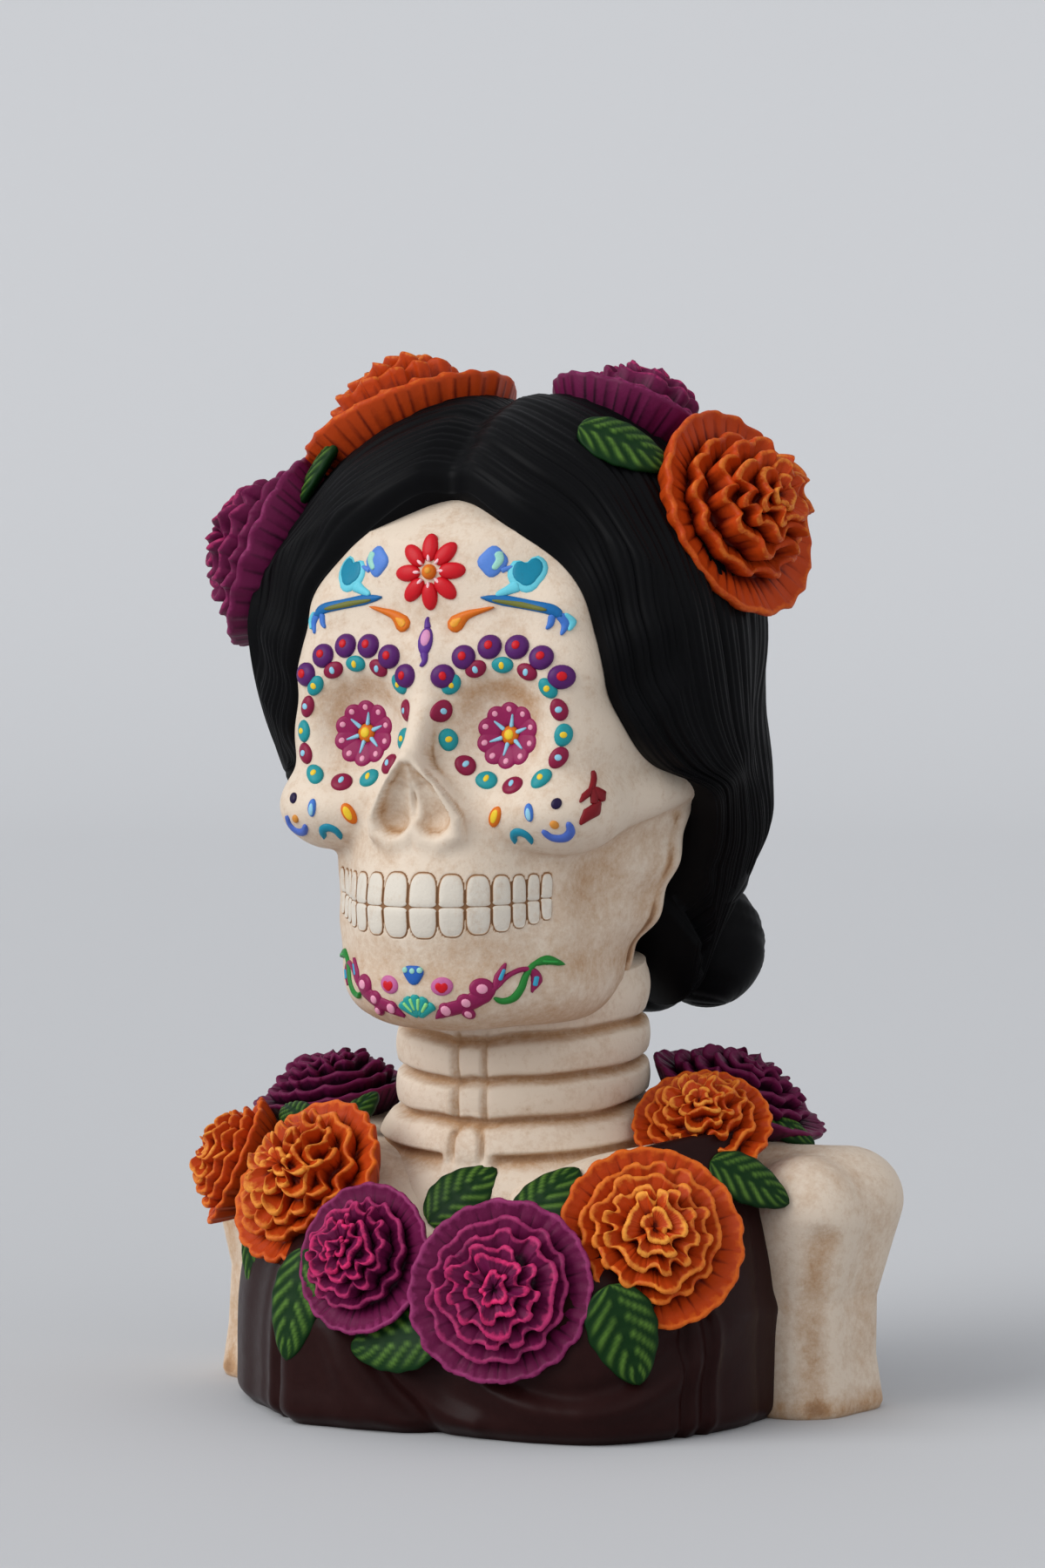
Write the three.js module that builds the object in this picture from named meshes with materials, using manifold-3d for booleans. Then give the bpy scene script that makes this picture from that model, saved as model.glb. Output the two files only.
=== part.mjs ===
// A painted terracotta catrina: the bust of a Day of the Dead lady with a skull for a face, black
// hair combed from a
// middle parting into a braid at the nape, a ringed bone neck, bone arms cut off flat, a dark
// draped shawl, a garland
// of ruffled flowers round her shoulders and four more in her hair. It is one fired piece, so it is
// one solid.
// Millimetres. +Z is up, the lady looks along -Y, +X is her left, and the origin is on the table
// under her shoulders.
import * as THREE from "three";
import { mergeVertices } from "three/addons/utils/BufferGeometryUtils.js";
import Module from "manifold-3d";

const wasm = await Module();
wasm.setup();

// Driving dimensions.
const JAW = { y: -35.5, radius: 37, bottom: 108, top: 172 }; // upright cylinder that carries the jaw
const MUZZLE = { y: -58, radius: 22.5, setBack: 6 }; // smaller one that pushes the front teeth forward
const BITE_Z = 141;
const EYE = { x: 21.8, y: -79, z: 189, wide: 17.4, deep: 17.6, tall: 18.2 };
const FACE = { halfWidth: 44.3, depth: 22, z: 184, halfHeight: 28, front: -71 };
const SKULL_CENTRE = [0, -30, 172];
const HAIR_CENTRE = [0, -15, 190];
const NECK = { y: -8, radius: 32, bottom: 66, top: 122, tilt: 0.1 };
const SHOULDER_Z = 78;
const SHAWL_CENTRE_Y = -18;
const ARM = { x: 84, y: 5, top: 54 };
const BRAID = { radius: 15.2, lobes: 6 };

// Small maths on points given as [x, y, z].
const add = (a, b) => a.map((v, i) => v + b[i]);
const subtract = (a, b) => a.map((v, i) => v - b[i]);
const scale = (a, k) => a.map((v) => v * k);
const dot = (a, b) => a.reduce((sum, v, i) => sum + v * b[i], 0);
const length = (a) => Math.sqrt(dot(a, a));
const unit = (a) => scale(a, 1 / length(a));
const mix = (a, b, t) => a + (b - a) * t;
const clamp = (v, low, high) => Math.min(high, Math.max(low, v));
const smoothstep = (low, high, v) => {
  const t = clamp((v - low) / (high - low), 0, 1);
  return t * t * (3 - 2 * t);
};
const bell = (v, width) => Math.exp(-((v / width) ** 2));
const degrees = (v) => (v * Math.PI) / 180;

// A direction at an angle round from the front and an angle up.
function fromDegrees(around, up) {
  const [a, b] = [degrees(around), degrees(up)];
  return [Math.sin(a) * Math.cos(b), -Math.cos(a) * Math.cos(b), Math.sin(b)];
}

// Signed distances, negative inside. Two shapes melt together over the width k.
function blend(a, b, k) {
  const h = Math.max(k - Math.abs(a - b), 0) / k;
  return Math.min(a, b) - (h * h * k) / 4;
}
const carve = (a, b, k) => -blend(-a, b, k);

function ellipsoid(p, centre, radii) {
  const q = subtract(p, centre);
  const near = length(q.map((v, i) => v / radii[i]));
  const far = length(q.map((v, i) => v / radii[i] ** 2));
  return far === 0 ? -Math.min(...radii) : (near * (near - 1)) / far;
}

function cone(p, a, ra, b, rb) {
  const ab = subtract(b, a);
  const t = clamp(dot(subtract(p, a), ab) / dot(ab, ab), 0, 1);
  return length(subtract(p, add(a, scale(ab, t)))) - mix(ra, rb, t);
}

// A chain of cones through [[point, radius], ...].
function chain(p, links) {
  let d = Infinity;
  for (let i = 1; i < links.length; i++) {
    d = Math.min(d, cone(p, ...links[i - 1], ...links[i]));
  }
  return d;
}

function roundedBox(p, centre, half, radius) {
  const q = subtract(p, centre).map((v, i) => Math.abs(v) - half[i] + radius);
  const outside = length(q.map((v) => Math.max(v, 0)));
  return outside + Math.min(Math.max(...q), 0) - radius;
}

// The distance from the farthest point of a ray in which shape() is still solid.
function reach(centre, direction, shape, farthest) {
  const steps = 40;
  let inside = 0;
  let outside = farthest;
  for (let i = steps; i > 0; i--) {
    const r = (farthest * i) / steps;
    if (shape(add(centre, scale(direction, r))) < 0) {
      inside = r;
      break;
    }
    outside = r;
  }
  for (let i = 0; i < 14; i++) {
    const middle = (inside + outside) / 2;
    if (shape(add(centre, scale(direction, middle))) < 0) inside = middle;
    else outside = middle;
  }
  return inside;
}

// A closed skin: point(i, j) gives row i of `rows` and column j of `columns`, whose columns close
// on themselves.
// The first and the last row are closed with one point each.
function skin(rows, columns, point, first, last) {
  const vertices = [];
  for (let i = 0; i < rows; i++) {
    for (let j = 0; j < columns; j++) vertices.push(point(i, j));
  }
  const start = vertices.push(first) - 1;
  const end = vertices.push(last) - 1;
  const faces = [];
  const at = (i, j) => i * columns + (j % columns);
  for (let j = 0; j < columns; j++) {
    faces.push([start, at(0, j + 1), at(0, j)]);
    for (let i = 0; i + 1 < rows; i++) {
      faces.push([at(i, j), at(i, j + 1), at(i + 1, j + 1)]);
      faces.push([at(i, j), at(i + 1, j + 1), at(i + 1, j)]);
    }
    faces.push([end, at(rows - 1, j), at(rows - 1, j + 1)]);
  }
  return solid(vertices, faces);
}

function solid(vertices, faces) {
  const make = (triangles) =>
    new wasm.Manifold(
      new wasm.Mesh({
        numProp: 3,
        vertProperties: new Float32Array(vertices.flat()),
        triVerts: new Uint32Array(triangles.flat()),
      }),
    );
  const made = make(faces);
  return made.volume() > 0 ? made : make(faces.map(([a, b, c]) => [a, c, b]));
}

function solidOfGeometry(geometry) {
  const bare = geometry.clone();
  bare.deleteAttribute("normal");
  bare.deleteAttribute("uv");
  const merged = mergeVertices(bare, 1e-4);
  return new wasm.Manifold(
    new wasm.Mesh({
      numProp: 3,
      vertProperties: merged.attributes.position.array,
      triVerts: new Uint32Array(merged.index.array),
    }),
  );
}

// Skull: the face of bone, as a distance function. The face is a slab that leans back at the top
// and at its sides.
function skull([x, y, z]) {
  const p = [Math.abs(x), y, z];
  const leaning = [p[0], y - 0.1 * p[0] - 0.07 * (z - 187), z];
  const dome = ellipsoid(p, [0, -26, 225], [49, 41.5, 42]);
  const forehead = roundedBox(p, [0, -38, 211], [43, 26, 20], 13);
  const brow = ellipsoid(p, [0, -44, 208], [46, 24, 10]);
  const face = [FACE.halfWidth, FACE.depth, FACE.halfHeight];
  const middle = roundedBox(leaning, [0, FACE.front + FACE.depth, FACE.z], face, 11);
  const cheek = ellipsoid(p, [36.5, -54, 167], [12.5, 14, 11]);
  const cheekFront = ellipsoid(p, [30, -58, 166.5], [17, 15.5, 9.5]);
  const arch = chain(p, [
    [[39, -50, 168], 9],
    [[46, -32, 171], 8],
    [[50, -12, 175], 7.5],
  ]);
  const temple = chain(p, [
    [[38, -48, 186], 10],
    [[42, -30, 188], 12],
    [[44, -10, 188], 12],
  ]);
  let d = blend(dome, forehead, 6);
  d = blend(d, brow, 8);
  d = blend(d, middle, 6);
  d = blend(d, cheek, 5);
  d = blend(d, cheekFront, 5);
  d = blend(d, arch, 5);
  d = blend(d, temple, 8);
  d = blend(d, jaw(p), 2.5);
  d = blend(d, nose(p), 4);
  const socket = ellipsoid(p, [EYE.x, EYE.y, EYE.z], [EYE.wide, EYE.deep, EYE.tall]);
  d = carve(d, socket, 4);
  return carve(d, nostril(p), 1.5);
}

// The upright wall of the jaw seen from above, as a distance. Away from the teeth the muzzle is set back.
function jawWall(x, y, z) {
  const back = MUZZLE.setBack * (1 - bell(z - BITE_Z, 15));
  const muzzle = Math.hypot(x, y - MUZZLE.y - back) - MUZZLE.radius;
  return blend(Math.hypot(x, y - JAW.y) - JAW.radius, muzzle, 10);
}

// Flank of the jaw: a flat fan of four bars that run back and out.
const FLANK_BARS = [
  [[22, -47, 123], 9, [26, -12, 125], 8.5],
  [[25, -47, 137], 9, [35, -12, 139], 8.5],
  [[27, -47, 151], 9, [40.5, -12, 153], 8.5],
  [[28, -47, 165], 9.5, [43, -12, 167], 9],
];

function jaw(p) {
  const round = 12;
  const side = jawWall(...p) + round;
  const half = (JAW.top - JAW.bottom) / 2;
  const up = Math.abs(p[2] - JAW.bottom - half) - half + round;
  const corner = Math.hypot(Math.max(side, 0), Math.max(up, 0));
  const front = corner + Math.min(Math.max(side, up), 0) - round;
  let d = blend(front, ellipsoid(p, [0, -55, 120], [24, 18, 12.5]), 6);
  for (const bar of FLANK_BARS) d = blend(d, cone(p, ...bar), 8);
  return carve(d, ellipsoid(p, [46, -46, 147], [8, 12, 11]), 9);
}

// Nose: a narrow bridge that widens into an upside-down heart.
function nose(p) {
  const bridge = chain(p, [
    [[0, -63, 209], 6],
    [[0, -68, 196], 4.4],
    [[0, -79, 181], 3],
  ]);
  const heart = chain(p, [
    [[0, -78, 180], 2.8],
    [[4.4, -74.6, 172.5], 4.6],
    [[6.8, -71.8, 166], 6],
  ]);
  return blend(bridge, heart, 5);
}

function nostril(p) {
  return chain(p, [
    [[0.9, -83, 177.2], 1.7],
    [[3.5, -80.4, 171.6], 3.9],
    [[5.2, -78.2, 165.6], 4.6],
  ]);
}

// The grid of directions is fine over the face and coarse behind it.
function skullSolid() {
  const frontColumns = 32;
  const backColumns = 3;
  const rows = 26;
  const faceSpan = degrees(84);
  const direction = (i, j) => {
    const front = (2 * j) / frontColumns - 1;
    const around =
      j < frontColumns
        ? faceSpan * mix(front, front ** 3, 0.12)
        : mix(faceSpan, 2 * Math.PI - faceSpan, (j - frontColumns) / backColumns);
    const up = degrees(mix(-72, 62, (i + 0.5) / rows));
    return [Math.sin(around) * Math.cos(up), -Math.cos(around) * Math.cos(up), Math.sin(up)];
  };
  const at = (d) => add(SKULL_CENTRE, scale(d, reach(SKULL_CENTRE, d, skull, 105)));
  const columns = frontColumns + backColumns;
  return skin(rows, columns, (i, j) => at(direction(i, j)), at([0, 0, -1]), at([0, 0, 1]));
}

// A round bar along [[point, radius], ...], closed at both ends.
function rod(links, rows, columns) {
  const path = new THREE.CatmullRomCurve3(links.map(([v]) => new THREE.Vector3(...v)));
  const frames = path.computeFrenetFrames(rows - 1);
  const point = (i, j) => {
    const t = i / (rows - 1);
    const share = t * (links.length - 1);
    const k = Math.min(Math.floor(share), links.length - 2);
    const r = mix(links[k][1], links[k + 1][1], share - k);
    const around = (2 * Math.PI * j) / columns;
    const v = path.getPoint(t);
    v.addScaledVector(frames.normals[i], r * Math.cos(around));
    return v.addScaledVector(frames.binormals[i], r * Math.sin(around)).toArray();
  };
  return skin(rows, columns, point, links[0][0], links.at(-1)[0]);
}

// Upright branch of the jaw and the cheekbone's arch that runs back to it.
function jawBranchSolid(side) {
  const branch = [
    [[22 * side, -30, 116], 8],
    [[31 * side, -15, 128], 8],
    [[40 * side, -13, 150], 8.5],
    [[44 * side, -13, 175], 9],
  ];
  const arch = [
    [[37 * side, -50, 167], 8],
    [[46 * side, -32, 171], 7.5],
    [[50 * side, -13, 175], 7],
  ];
  return wasm.Manifold.union([rod(branch, 6, 7), rod(arch, 4, 7)]);
}

// Rim of the nose: an upside-down heart, drawn once round.
function noseRimSolid() {
  const half = [
    [0, -81.6, 181],
    [3.6, -80.6, 177.2],
    [7.8, -78.6, 171.4],
    [11, -76.8, 165.6],
    [10, -75.8, 161.2],
    [6, -75.8, 159.8],
    [2, -76.2, 161.8],
  ];
  const mirrored = half.slice(1).reverse().map(([x, y, z]) => [-x, y, z]);
  const points = [...half, ...mirrored].map((v) => new THREE.Vector3(...v));
  const path = new THREE.CatmullRomCurve3(points, true);
  return solidOfGeometry(new THREE.TubeGeometry(path, 18, 1.9, 5, true));
}

// Teeth: tall ovals that stand on the wall of the jaw, an upper and a lower one in each place.
// Their edges are given in
// degrees round an upright axis inside the jaw, from the middle outwards.
const TOOTH_AXIS_Y = -45;
const TOOTH_EDGES = [0, 13.4, 25.5, 38, 48.3, 56.5, 64];
function teethSolid() {
  const centre = [0, TOOTH_AXIS_Y, BITE_Z];
  const wallAt = (turn) => {
    const direction = fromDegrees(turn, 0);
    return add(centre, scale(direction, reach(centre, direction, (p) => jawWall(...p), 60)));
  };
  const sunk = 4.6;
  const teeth = [];
  for (let n = 1; n < TOOTH_EDGES.length; n++) {
    const inner = wallAt(TOOTH_EDGES[n - 1]);
    const outer = wallAt(TOOTH_EDGES[n]);
    const middle = scale(add(inner, outer), 0.5);
    const across = subtract(outer, inner);
    const halfWide = length(across) / 2 - 0.5;
    const tall = 9 - 0.5 * n;
    for (const side of [-1, 1]) {
      const x = new THREE.Vector3(across[0], across[1] * side, 0).normalize();
      const z = new THREE.Vector3(0, 0, 1);
      const out = new THREE.Vector3().crossVectors(x, z);
      const frame = new THREE.Matrix4().makeBasis(x, z, out);
      frame.setPosition(middle[0] * side - out.x * sunk, middle[1] - out.y * sunk, BITE_Z + 0.2 * n);
      for (const up of [-1, 1]) {
        const outline = new THREE.Shape();
        outline.moveTo(-halfWide, 0.4 * up);
        outline.lineTo(halfWide, 0.4 * up);
        for (let k = 0; k <= 3; k++) {
          const a = (Math.PI * k) / 3;
          outline.lineTo(halfWide * Math.cos(a), up * (tall - 2.5 + 2.5 * Math.sin(a)));
        }
        const tooth = new THREE.ExtrudeGeometry(outline, { depth: sunk + 0.6, bevelEnabled: false });
        teeth.push(solidOfGeometry(tooth.applyMatrix4(frame)));
      }
    }
  }
  return wasm.Manifold.union(teeth);
}

// Hair: the volume that the combed locks cover, as a distance function.
function hairVolume([x, y, z]) {
  const p = [Math.abs(x), y, z];
  const crown = ellipsoid(p, [0, -12, 213], [70, 62, 66]);
  const swoop = chain(p, [
    [[42, -39, 214], 23],
    [[50, -16, 180], 18],
    [[43, 14, 162], 17],
    [[27, 20, 124], 16],
  ]);
  const nape = ellipsoid(p, [0, 16, 176], [61, 40, 50]);
  return blend(blend(crown, swoop, 14), nape, 14);
}

// Directions of the hairline seen from the middle of the head, in degrees round from the face and
// up, from the
// parting down past the temple and under the ear to the nape.
const HAIRLINE = [
  [0, 58],
  [24, 46.8],
  [39.5, 38],
  [46, 25],
  [49.5, 10],
  [57, -3.5],
  [68, -12],
  [82, -17],
  [98, -29],
  [114, -45],
  [132, -57],
  [165, -60],
];
const NAPE_TURN = 205; // the parting runs from the forehead this far over the head
const hairlineCurve = new THREE.CatmullRomCurve3(
  HAIRLINE.map(([around, up]) => new THREE.Vector3(...fromDegrees(around, up))),
);

// Direction of a point of the hair: `across` runs from the hairline (0) to the nape (1), `along`
// from the parting (0)
// down either side (-1 or 1) to the nape. The patch is stretched between those four edges.
function lockDirection(across, along) {
  const t = Math.abs(along);
  const front = hairlineCurve.getPoint(t).toArray();
  const turn = mix(HAIRLINE[0][1], NAPE_TURN, across);
  const parting = fromDegrees(0, turn);
  const nape = fromDegrees(0, NAPE_TURN);
  const gather = fromDegrees(...HAIRLINE.at(-1));
  const forehead = fromDegrees(...HAIRLINE[0]);
  const d = [0, 1, 2].map((k) => {
    const sides = mix(front[k], mix(nape[k], gather[k], t), across) + mix(parting[k], gather[k], t);
    return sides - mix(mix(forehead[k], nape[k], across), gather[k], t);
  });
  return unit([d[0] * Math.sign(along || 1), d[1], d[2]]);
}

// How far the hair may stand off the bone near the hairline; low at the temples it hangs free.
function thickness(across, along) {
  const rise = 0.4 + 2.6 * smoothstep(0, 0.012, across) + 110 * Math.max(0, across - 0.01);
  return rise + 60 * smoothstep(0.55, 0.72, Math.abs(along));
}

function hairSolid() {
  const locks = 10;
  const columns = 2 * locks + 1; // ridge and groove in turn
  const hidden = 2; // columns inside the head that close the skin
  const rows = 17;
  const relief = 1.2;
  const point = (i, j) => {
    const along = mix(-0.98, 0.98, i / (rows - 1));
    if (j >= columns) {
      const inner = mix(1, 0, (j - columns + 1) / (hidden + 1));
      return add(HAIR_CENTRE, scale(lockDirection(inner, along), 30));
    }
    const across = (j / (columns - 1)) ** 1.2;
    const d = lockDirection(across, along);
    let r = reach(HAIR_CENTRE, d, hairVolume, 110);
    r += relief * (j % 2 ? 1 : -1) * Math.sin(Math.PI * clamp(Math.abs(along) * 1.2, 0, 1));
    r -= 3 * bell(along, 0.04) * (1 - across);
    if (across < 0.2) r = Math.min(r, reach(HAIR_CENTRE, d, skull, 110) + thickness(across, along));
    return add(HAIR_CENTRE, scale(d, r));
  };
  const tip = (side) => {
    const gather = fromDegrees(...HAIRLINE.at(-1));
    return add(HAIR_CENTRE, scale([gather[0] * side, gather[1], gather[2]], 45));
  };
  return skin(rows, columns + hidden, point, tip(-1), tip(1));
}

// Braid: a roll of plump lobes hung from ear to ear behind the neck.
function braidSolid() {
  const made = [];
  for (let n = 0; n < BRAID.lobes; n++) {
    const s = mix(-1, 1, n / (BRAID.lobes - 1));
    const hang = Math.cos((s * Math.PI) / 2);
    const swell = Math.cos(Math.PI * n);
    const lobe = new THREE.IcosahedronGeometry(BRAID.radius + 1.2 * swell, 1);
    lobe.scale(1.25, 1, 1);
    lobe.rotateY(1.35 * s + 0.35 * swell);
    lobe.translate(42 * Math.sin((s * Math.PI) / 2), 18 + 31 * hang ** 0.6, 150 - 31 * hang ** 0.5);
    made.push(solidOfGeometry(lobe));
  }
  return wasm.Manifold.union(made);
}

// Neck: a stack of rings that tilts forward, with small blocks up its front.
const RINGS = [
  { z: 114, tall: 16 },
  { z: 99.5, tall: 11 },
  { z: 88.5, tall: 11 },
  { z: 77.5, tall: 11 },
  { z: 66, tall: 12 },
];
function neckSolid() {
  const columns = 20;
  const profile = [[NECK.bottom - 26, NECK.radius + 6]];
  for (const ring of [...RINGS].reverse()) {
    profile.push([ring.z - ring.tall / 2, 0]);
    profile.push([ring.z - ring.tall * 0.3, 2.6]);
    profile.push([ring.z + ring.tall * 0.3, 2.6]);
  }
  const point = (i, j) => {
    const around = (2 * Math.PI * j) / columns;
    const [z, out] = profile[i];
    const flare = Math.max(0, 84 - z) * mix(0.25, 0.7, Math.sin(around) ** 2);
    const r = i ? NECK.radius + out + flare : out;
    const y = -Math.cos(around) * r;
    return [Math.sin(around) * r, NECK.y + y, z + (i ? y * NECK.tilt : 0)];
  };
  const ends = [profile[0][0], NECK.top + 2];
  const rings = skin(profile.length, columns, point, [0, NECK.y, ends[0]], [0, NECK.y, ends[1]]);
  const blocks = RINGS.slice(1).map((ring) => {
    const block = new THREE.BoxGeometry(7, 8, ring.tall - 2.5);
    const front = NECK.radius + 3 + Math.max(0, 84 - ring.z) * 0.25;
    block.translate(0, NECK.y - front + 3, ring.z - front * NECK.tilt);
    return solidOfGeometry(block);
  });
  return wasm.Manifold.union([rings, ...blocks]);
}

// Body under the shawl. The footprint is given round the middle of the body as [degrees from the
// front, radius].
const FOOTPRINT = [
  [-180, 46],
  [-145, 54],
  [-112, 73],
  [-90, 77],
  [-75, 77],
  [-54, 71],
  [-29, 72.5],
  [8, 64.5],
  [32, 77],
  [43, 83],
  [63, 81.5],
  [86, 79.5],
  [112, 75],
  [145, 54],
];
function footprintRadius(around) {
  const angle = (around * 180) / Math.PI;
  const n = FOOTPRINT.length;
  const turned = FOOTPRINT[0][0] + ((((angle - FOOTPRINT[0][0]) % 360) + 360) % 360);
  let i = n - 1;
  while (FOOTPRINT[i][0] > turned) i--;
  const knot = (k) => {
    const lap = Math.floor(k / n);
    const [a, r] = FOOTPRINT[k - lap * n];
    return [a + 360 * lap, r];
  };
  const [before, start, end, after] = [i - 1, i, i + 1, i + 2].map(knot);
  const span = end[0] - start[0];
  const t = (turned - start[0]) / span;
  const slopeStart = ((end[1] - before[1]) / (end[0] - before[0])) * span;
  const slopeEnd = ((after[1] - start[1]) / (after[0] - start[0])) * span;
  return (
    start[1] * (1 + 2 * t) * (1 - t) ** 2 +
    slopeStart * t * (1 - t) ** 2 +
    end[1] * t * t * (3 - 2 * t) +
    slopeEnd * t * t * (t - 1)
  );
}

// Heights of the body with the inset of the front there.
const SECTIONS = [
  [0, 3],
  [4, 0],
  [11, 0],
  [19, 0],
  [30, 1],
  [42, 5],
  [53, 13],
  [63, 24],
  [71, 34],
  [SHOULDER_Z, 45],
];
// A point of the body's skin at an angle round from the front and at a height.
function bodyPoint(around, height) {
  const above = SECTIONS.findIndex(([z]) => z > height);
  const next = above < 0 ? SECTIONS.length - 1 : Math.max(above, 1);
  const [low, high] = [SECTIONS[next - 1], SECTIONS[next]];
  const inset = mix(low[1], high[1], clamp((height - low[0]) / (high[0] - low[0]), 0, 1));
  const ahead = Math.max(0, Math.cos(around));
  const r = footprintRadius(around) - inset * mix(0.25, 1, ahead);
  const out = r + foldHeight(around, Math.sin(around) * r, height);
  const dip = 20 * smoothstep(42, SHOULDER_Z, height) * ahead ** 2;
  return [Math.sin(around) * out, SHAWL_CENTRE_Y - Math.cos(around) * out, height - dip];
}

function torsoSolid() {
  const frontColumns = 28;
  const backColumns = 10;
  const frontSpan = degrees(84);
  const turnOf = (j) =>
    j < frontColumns
      ? mix(-frontSpan, frontSpan, j / frontColumns)
      : mix(frontSpan, 2 * Math.PI - frontSpan, (j - frontColumns) / backColumns);
  const point = (i, j) => bodyPoint(turnOf(j), SECTIONS[i][0]);
  const columns = frontColumns + backColumns;
  const [bottom, top] = [0, SHOULDER_Z - 14].map((z) => [0, SHAWL_CENTRE_Y, z]);
  return skin(SECTIONS.length, columns, point, bottom, top);
}

// Folds of the shawl: upright pleats at both sides, and in front a swag that hangs from side to side.
function foldHeight(around, x, z) {
  const a = Math.atan2(Math.sin(around), Math.cos(around));
  const side = smoothstep(0.9, 1.15, Math.abs(a));
  const low = smoothstep(SHOULDER_Z, 40, z);
  const pleats = 1.6 * side * low * Math.cos(a * 13);
  const swag = 2 * bell(z - (9 + 0.007 * (x - 34) ** 2), 5) * (1 - side);
  const corner = 1.6 * bell((x + 10) * 0.7 + (z - 17) * 0.7, 4) * (1 - side) * low;
  return pleats + swag + corner;
}

// Arm: two bones side by side with a hollow down the front one, cut off flat on the table. A bar of
// shoulder joins
// them to the body.
function arm(p) {
  const front = chain(p, [
    [[82.5, -2, 54], 16.5],
    [[80.5, -3, 32], 13],
    [[81, -3, 14], 13.5],
    [[82, -3, -4], 15],
  ]);
  const back = chain(p, [
    [[91, 17, 57], 13.2],
    [[86, 14, 32], 10.6],
    [[86, 13, 14], 10.8],
    [[88, 12, -4], 12],
  ]);
  const hollow = chain(p, [
    [[95, -17.5, 47], 4.5],
    [[92.5, -17.5, 20], 4.5],
    [[94, -18, 5], 3.5],
  ]);
  const shoulder = cone(p, [56, 10, 60], 14.5, [86, 14, 57.5], 13.2);
  return carve(blend(blend(front, back, 9), shoulder, 6), hollow, 5);
}

// Rays from an upright axis, which lean over above the arm's top to close the shoulder.
function armSolid(side) {
  const upright = 7;
  const leaning = 5;
  const columns = 16;
  const at = (around, t) => {
    const lean = degrees(88) * Math.max(0, t);
    const out = Math.cos(lean);
    const d = [Math.sin(around) * out, -Math.cos(around) * out, Math.sin(lean)];
    const centre = [ARM.x, ARM.y, ARM.top * Math.min(1, 1 + t)];
    const p = add(centre, scale(d, reach(centre, d, arm, 48)));
    return [p[0] * side, p[1], Math.max(p[2], 0)];
  };
  const point = (i, j) => {
    const t = i < upright ? i / upright - 1 : (i - upright) / leaning;
    return at((2 * Math.PI * j) / columns, t);
  };
  return skin(upright + leaning, columns, point, [ARM.x * side, ARM.y, 0], at(0, 1));
}

// Flower: stacked frills on a cup, each frill's edge waved in and out. Its own axis is +Z and its
// back is below z = 0.
// A row gives the share of the radius, the share of the height and how much of the wave the edge has.
const FULL = [
  [1, 0.16, 1],
  [0.74, 0.24, 0.4],
  [0.72, 0.54, 1],
  [0.46, 0.62, 0.4],
  [0.44, 0.98, 1],
];
const SAUCER = [
  [1, 0.14, 1],
  [0.64, 0.22, 0.4],
  [0.62, 0.74, 1],
  [0.4, 0.72, 0.4],
  [0.4, 1, 1],
];
function flowerSolid({ form, radius, tall }) {
  const columns = 16;
  const point = (i, j) => {
    const around = (2 * Math.PI * (j + (i > 1 ? 0.5 : 0))) / columns;
    const [out, up, wave] = form[i];
    const ripple = wave * (j % 2 ? -1 : 1);
    const r = radius * (out + 0.035 * ripple);
    return [r * Math.cos(around), r * Math.sin(around), tall * (up + 0.06 * ripple)];
  };
  return skin(form.length, columns, point, [0, 0, -0.9 * tall - 4], [0, 0, 0.8 * tall]);
}

// Leaf: a pointed oval, thick along its vein. Its own tip points along +X and its back is below z = 0.
function leafSolid({ long, wide }) {
  const steps = 5;
  const vertices = [];
  const half = (t) => (wide / 2) * Math.sin(Math.PI * t ** 0.8) ** 0.75;
  vertices.push([0, 0, 0]);
  for (let i = 1; i < steps; i++) {
    const t = i / steps;
    vertices.push([t * long, -half(t), 0], [t * long, 0, 2.2], [t * long, half(t), 0], [t * long, 0, -3]);
  }
  vertices.push([long, 0, 0]);
  const faces = [];
  const at = (i, k) => 1 + (i - 1) * 4 + (k % 4);
  const tip = vertices.length - 1;
  for (let k = 0; k < 4; k++) {
    faces.push([0, at(1, k + 1), at(1, k)]);
    for (let i = 1; i < steps - 1; i++) {
      faces.push([at(i, k), at(i, k + 1), at(i + 1, k + 1)]);
      faces.push([at(i, k), at(i + 1, k + 1), at(i + 1, k)]);
    }
    faces.push([tip, at(steps - 1, k), at(steps - 1, k + 1)]);
  }
  return solid(vertices, faces);
}

// Stands a solid's +Z along `facing` at a point, and turns its +X towards `towards`.
function placed(made, at, facing, towards = [0, 0, -1]) {
  const z = new THREE.Vector3(...facing).normalize();
  const x = new THREE.Vector3(...towards);
  x.addScaledVector(z, -x.dot(z)).normalize();
  const y = new THREE.Vector3().crossVectors(z, x);
  const matrix = new THREE.Matrix4().makeBasis(x, y, z).setPosition(...at);
  return made.transform(matrix.elements);
}

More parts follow.
